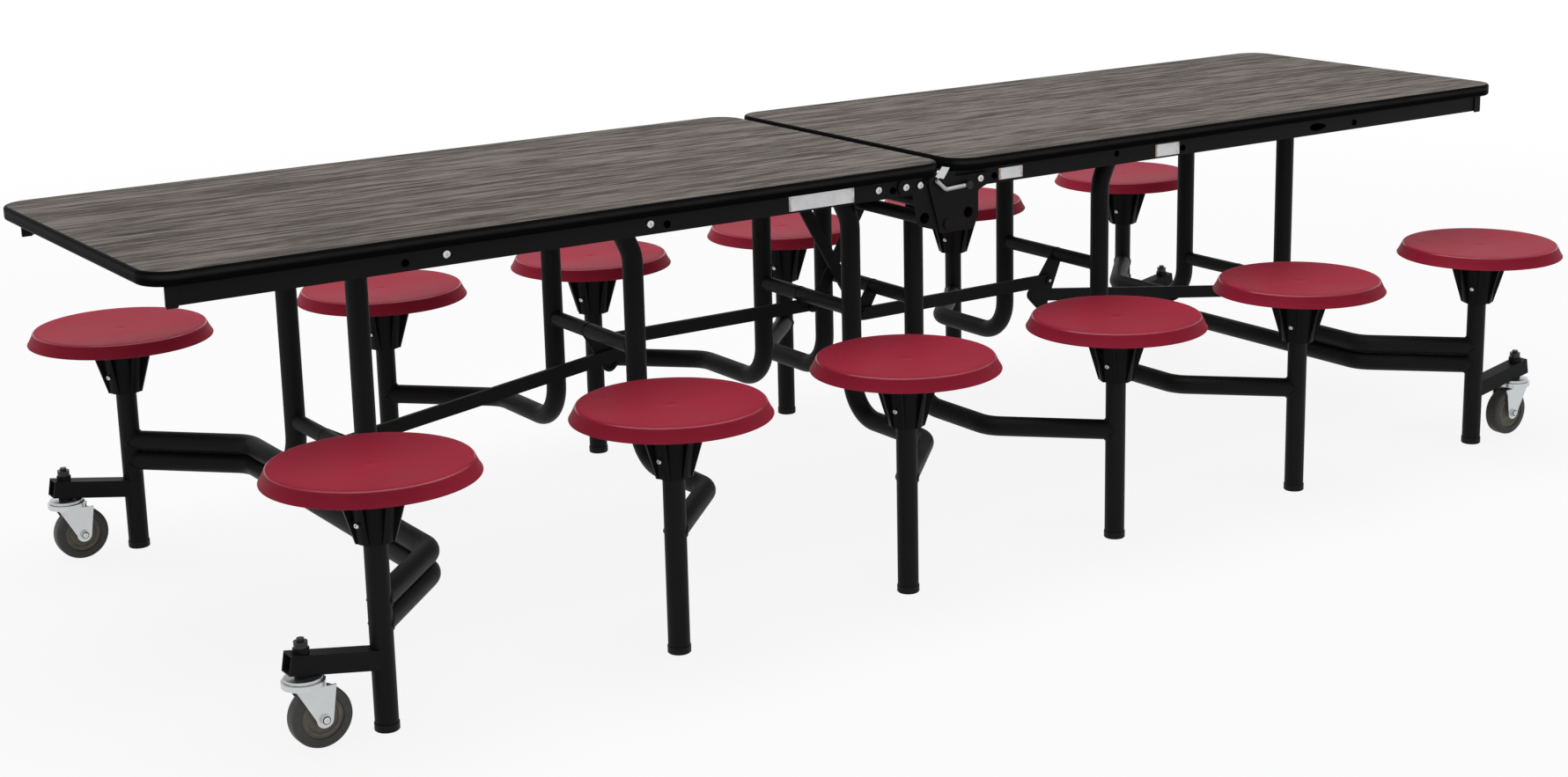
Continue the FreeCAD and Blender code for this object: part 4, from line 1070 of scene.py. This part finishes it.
class TABLE_OT_fittings(bpy.types.Operator):
    """Bolts of the rails with painted shade in their holes and slots, bare label plates, latch handle and
    keeper
    """

    bl_idname = "table.fittings"
    bl_label = "Rail fittings"

    def turned(self, half, x, y, z):
        """A place on the left half's front, or the same place on the right half's rear."""
        return Vector((x, y, z)) if half == "left" else Vector((-x, -y, z))

    def execute(self, context):
        colours = context.scene.table_colours
        sizes = context.scene.table_sizes
        zinc = bright_zinc(colours)
        coat = bpy.data.materials["powder_coat"]
        dark = bpy.data.materials["oiled_rod"]
        dress_nodes(["latch_handle"], latch_finish(colours, LATCH_PIVOT))
        for half in HALVES:
            outward = self.turned(half, 0, -1, 0)
            back = -outward
            places = []
            for x in RAIL_BOLT_X:
                places.append((self.turned(half, x, -RAIL_FRONT, RAIL_BOLT_Z), outward))
            for x in LOBED_PLATE_BOLT_X:
                places.append((self.turned(half, x, -LOBED_PLATE_FRONT, LOBED_PLATE_BOLT_Z), outward))
            x, z = WIDE_PLATE_BOLT
            places.append((self.turned(half, x, WIDE_PLATE_FRONT, z), back))
            bolts(half + "_rail_bolts", places, half + "_top", zinc, (sizes.bolt_head, sizes.bolt_height))
            # A dark disc in the rail hole is painted shade of the hole
            x, z = RAIL_HOLE
            hole_shades = [(self.turned(half, x, RAIL_FRONT, z), back)]
            bolts(half + "_rail_hole_shades", hole_shades, half + "_top", dark, HOLE_SHADE_HEAD, 0.7)
            self.painted_slot_shade(half, dark)
            self.rail_caps(half, coat)
            self.link_cover(half, coat, zinc)
        self.plates(colours, sizes, zinc)
        self.keeper(zinc, coat)
        self.gap_plate(coat)
        return {"FINISHED"}

    def painted_slot_shade(self, half, dark):
        """Dark sheet of painted shade over the egg-shaped slot in a rail."""
        middle_x, middle_z = RAIL_SLOT
        corners = []
        for step in range(28):
            angle = 2 * math.pi * step / 28
            tall = SLOT_HALF_HEIGHT - SLOT_TAPER * math.cos(angle)
            x = middle_x - SLOT_HALF_LENGTH * math.cos(angle)
            corners.append(self.turned(half, x, RAIL_FRONT + LIFT, middle_z + tall * math.sin(angle)))
        plate_piece(half + "_painted_slot_shade", [corners], 0.0007, 0.0002, half + "_top", dark)

    def rail_caps(self, half, coat):
        """Folded caps on the outer ends of a half's two rails."""
        low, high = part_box(half + "_side_rails")
        end = low.x if half == "left" else high.x
        inner = end - OUTWARD[half] * RAIL_CAP_LENGTH
        outlines = []
        for side in (-1, 1):
            x0, x1 = sorted((end, inner), reverse=side > 0)
            y = side * (RAIL_FRONT + LIFT)
            outlines.append(rectangle(x0, x1, y, low.z - RAIL_CAP_DROP, high.z - RAIL_CAP_GAP))
        plate_piece(half + "_rail_caps", outlines, 0.0030, 0.0012, half + "_top", coat)

    def link_cover(self, half, coat, zinc):
        """Thin cover over the slot in a middle frame's link plate, and the rivet of the pin beside it."""
        body = half + "_middle_frame"
        out = OUTWARD[half]
        front = -out
        low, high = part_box(half + "_outer_link_bar")
        start = Vector(((high.x if out < 0 else low.x) + out * BAR_ROUND, 0, high.z - BAR_ROUND))
        end = start + Vector((out, 0, -1)) * LINK_SLOT_RUN
        corners = []
        for step in range(32):
            angle = math.pi / 4 + 2 * math.pi * (step + 0.5) / 32
            spoke = Vector((out * math.cos(angle), 0, math.sin(angle))) * LINK_COVER_RADIUS
            centre = start if step < 16 else end
            corners.append(centre + spoke + Vector((0, front * (LINK_PLATE_FACE + LIFT), 0)))
        plate_piece(half + "_link_cover", [corners], 0.0004, 0.0001, body, coat)
        low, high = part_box(half + "_inner_link_bar")
        x = (low.x if out < 0 else high.x) - out * BAR_ROUND
        pin = Vector((x, front * LINK_PIN_FACE, (low.z + high.z) / 2))
        bolts(half + "_link_rivet", [(pin, (0, front, 0))], body, zinc, LINK_RIVET, 0.6, 16)

    def plates(self, colours, sizes, zinc):
        """Bare plates on the front rail, each with four small rivets."""
        thickness = sizes.plate_thickness
        y = -RAIL_FRONT - LIFT
        front = y - thickness
        for number, (half, x0, x1, z0, z1) in enumerate(LABEL_PLATES):
            name = "label_plate_%d" % number
            metal = bare_plate(name, colours, (x0 + x1) / 2, (x1 - x0) / 2)
            plate_piece(name, [rectangle(x0, x1, y, z0, z1)], thickness, 0.0003, half + "_top", metal)
            rivets = []
            for x in (x0 + 0.006, x1 - 0.006):
                rivets += [((x, front, z), (0, -1, 0)) for z in (z0 + 0.005, z1 - 0.005)]
            bolts("label_rivets_%d" % number, rivets, half + "_top", zinc, LABEL_RIVET, 0.3, 14)

    def gap_plate(self, coat):
        """Black plate above the wide hinge plate, which closes the view through the gap."""
        x0, x1, z0, z1 = GAP_PLATE
        corners = rectangle(x0, x1, -WIDE_PLATE_FRONT + GAP_PLATE_DEPTH, z0, z1)
        plate_piece("gap_plate", [corners], 0.0034, 0.0004, "right_top", coat)

    def keeper(self, zinc, coat):
        """Bright tab that the latch hooks under, on a black arm below a hinge bolt."""
        face = -KEEPER_FRONT
        tab = [(x, face, z) for x, z in KEEPER_TAB]
        plate_piece("latch_keeper", [tab], 0.0014, 0.0003, "left_top", zinc)
        plate = -LOBED_PLATE_FRONT - LIFT
        path = [Vector((x, y, z)) for (x, z), y in zip(KEEPER_ARM, (plate, plate, face, face))]
        half_width = Vector((0, 0, KEEPER_ARM_HALF_WIDTH))
        outlines = []
        for start, end in zip(path, path[1:]):
            outlines.append([start - half_width, end - half_width, end + half_width, start + half_width])
        plate_piece("keeper_arm", outlines, 0.0014, 0.0003, "left_top", coat)


class TABLE_OT_studio(bpy.types.Operator):
    """Pale floor, soft studio light, white world and the camera"""

    bl_idname = "table.studio"
    bl_label = "Studio"

    def floor(self, size):
        """A white floor that keeps the table's soft shadow."""
        mesh = bpy.data.meshes.new("floor")
        half = size / 2
        corners = [(-half, -half, 0), (half, -half, 0), (half, half, 0), (-half, half, 0)]
        mesh.from_pydata(corners, [], [(0, 1, 2, 3)])
        ground = bpy.data.objects.new("floor", mesh)
        bpy.context.scene.collection.objects.link(ground)
        paint = bpy.data.materials.new("pale_floor")
        paint.use_nodes = True
        paint.node_tree.nodes.clear()
        nodes = NodeTree(paint.node_tree)
        place = nodes.add("ShaderNodeTexCoord")
        reach = nodes.add("ShaderNodeVectorMath", operation="LENGTH")
        nodes.join(place.outputs["Object"], reach.inputs[0])
        fade = nodes.spread(reach.outputs["Value"], *FLOOR_FADE)
        matt = nodes.add("ShaderNodeBsdfDiffuse")
        matt.inputs["Color"].default_value = (0.88, 0.88, 0.88, 1)
        share = nodes.math("MULTIPLY", self.background_rays(nodes), fade)
        glow = nodes.add("ShaderNodeEmission")
        self.finish_tree(nodes, share, matt, glow, "ShaderNodeOutputMaterial")
        mesh.materials.append(paint)

    def background_rays(self, nodes):
        """1 for rays of the camera, of gloss and through glass, which see the white background."""
        path = nodes.add("ShaderNodeLightPath")
        total = path.outputs["Is Camera Ray"]
        for name in ("Is Glossy Ray", "Is Transmission Ray"):
            total = nodes.math("MAXIMUM", total, path.outputs[name])
        return total

    def finish_tree(self, nodes, share, first, second, output):
        """Ends a tree in two shaders, with a share of the second."""
        both = nodes.add("ShaderNodeMixShader")
        nodes.join(share, both.inputs[0])
        nodes.join(first.outputs[0], both.inputs[1])
        nodes.join(second.outputs[0], both.inputs[2])
        nodes.join(both.outputs[0], nodes.add(output).inputs["Surface"])

    def world(self, scene, strength):
        """Even light from all round, seen as white."""
        scene.world = bpy.data.worlds.new("white_studio")
        scene.world.use_nodes = True
        scene.world.node_tree.nodes.clear()
        nodes = NodeTree(scene.world.node_tree)
        light = nodes.add("ShaderNodeBackground")
        light.inputs["Strength"].default_value = strength
        white = nodes.add("ShaderNodeBackground")
        for background in (light, white):
            background.inputs["Color"].default_value = (1, 1, 1, 1)
        self.finish_tree(nodes, self.background_rays(nodes), light, white, "ShaderNodeOutputWorld")

    def lamp(self, name, place, target, size, power):
        """A soft lamp that looks at a target."""
        light = bpy.data.lights.new(name, "AREA")
        light.shape = "RECTANGLE"
        light.size, light.size_y = size
        light.energy = power
        lamp = bpy.data.objects.new(name, light)
        bpy.context.scene.collection.objects.link(lamp)
        lamp.location = place
        lamp.rotation_euler = (Vector(target) - Vector(place)).to_track_quat("-Z", "Y").to_euler()

    def camera(self, scene, studio):
        """The camera at the photograph's viewing angle."""
        heading = studio.camera_heading
        pitch = studio.camera_pitch
        level = Vector((math.cos(heading), -math.sin(heading), 0))
        ahead = Vector((math.sin(heading), math.cos(heading), 0)) * math.cos(pitch)
        ahead.z = -math.sin(pitch)
        above = level.cross(ahead)
        roll = studio.camera_roll
        right = level * math.cos(roll) + above * math.sin(roll)
        up = above * math.cos(roll) - level * math.sin(roll)
        lens = bpy.data.cameras.new("camera")
        lens.sensor_fit = "HORIZONTAL"
        lens.sensor_width = 36.0
        lens.lens = studio.focal_pixels / PICTURE_WIDTH * lens.sensor_width
        lens.shift_x, lens.shift_y = studio.camera_shift
        lens.clip_end = 200.0
        camera = bpy.data.objects.new("camera", lens)
        scene.collection.objects.link(camera)
        turn = Matrix((right, up, -ahead)).transposed().to_4x4()
        camera.matrix_world = Matrix.Translation(studio.camera_place) @ turn
        scene.camera = camera

    def execute(self, context):
        scene = context.scene
        studio = scene.table_studio
        self.floor(studio.floor_size)
        self.world(scene, studio.world_strength)
        self.lamp("overhead_light", (0, 0.2, 4.2), (0, 0.2, 0), (5.2, 3.4), studio.overhead_power)
        self.lamp("front_light", (-2.2, -4.0, 2.8), (0, 0, 0.5), (2.4, 2.4), studio.front_power)
        self.camera(scene, studio)
        scene.view_settings.view_transform = "Standard"
        return {"FINISHED"}


PIECE_OPERATORS = (TABLE_OT_tops, TABLE_OT_frames, TABLE_OT_seats, TABLE_OT_hubs, TABLE_OT_casters,
                   TABLE_OT_fittings, TABLE_OT_studio)
PROPERTY_GROUPS = {"table_colours": TableColours, "table_sizes": TableSizes, "table_studio": TableStudio}


class TABLE_PT_panel(bpy.types.Panel):
    """Lists the table's groups of pieces and their settings"""

    bl_idname = "TABLE_PT_panel"
    bl_label = "Cafeteria table"
    bl_space_type = "VIEW_3D"
    bl_region_type = "UI"
    bl_category = "Table"

    def draw(self, context):
        for operator in PIECE_OPERATORS:
            self.layout.operator(operator.bl_idname)
        for name, group in PROPERTY_GROUPS.items():
            box = self.layout.box()
            for prop in group.__annotations__:
                box.prop(getattr(context.scene, name), prop)


def register():
    """Adds the settings, operators and panel."""
    for group in PROPERTY_GROUPS.values():
        bpy.utils.register_class(group)
    for operator in PIECE_OPERATORS:
        bpy.utils.register_class(operator)
    bpy.utils.register_class(TABLE_PT_panel)
    for name, group in PROPERTY_GROUPS.items():
        setattr(bpy.types.Scene, name, PointerProperty(type=group))


def unregister():
    """Removes the settings, operators and panel."""
    for name in PROPERTY_GROUPS:
        delattr(bpy.types.Scene, name)
    bpy.utils.unregister_class(TABLE_PT_panel)
    for operator in reversed(PIECE_OPERATORS):
        bpy.utils.unregister_class(operator)
    for group in PROPERTY_GROUPS.values():
        bpy.utils.unregister_class(group)


def main():
    register()
    bpy.ops.table.tops()
    bpy.ops.table.frames()
    bpy.ops.table.seats()
    bpy.ops.table.hubs()
    bpy.ops.table.casters()
    bpy.ops.table.fittings()
    bpy.ops.table.studio()


if __name__ == "__main__":
    main()
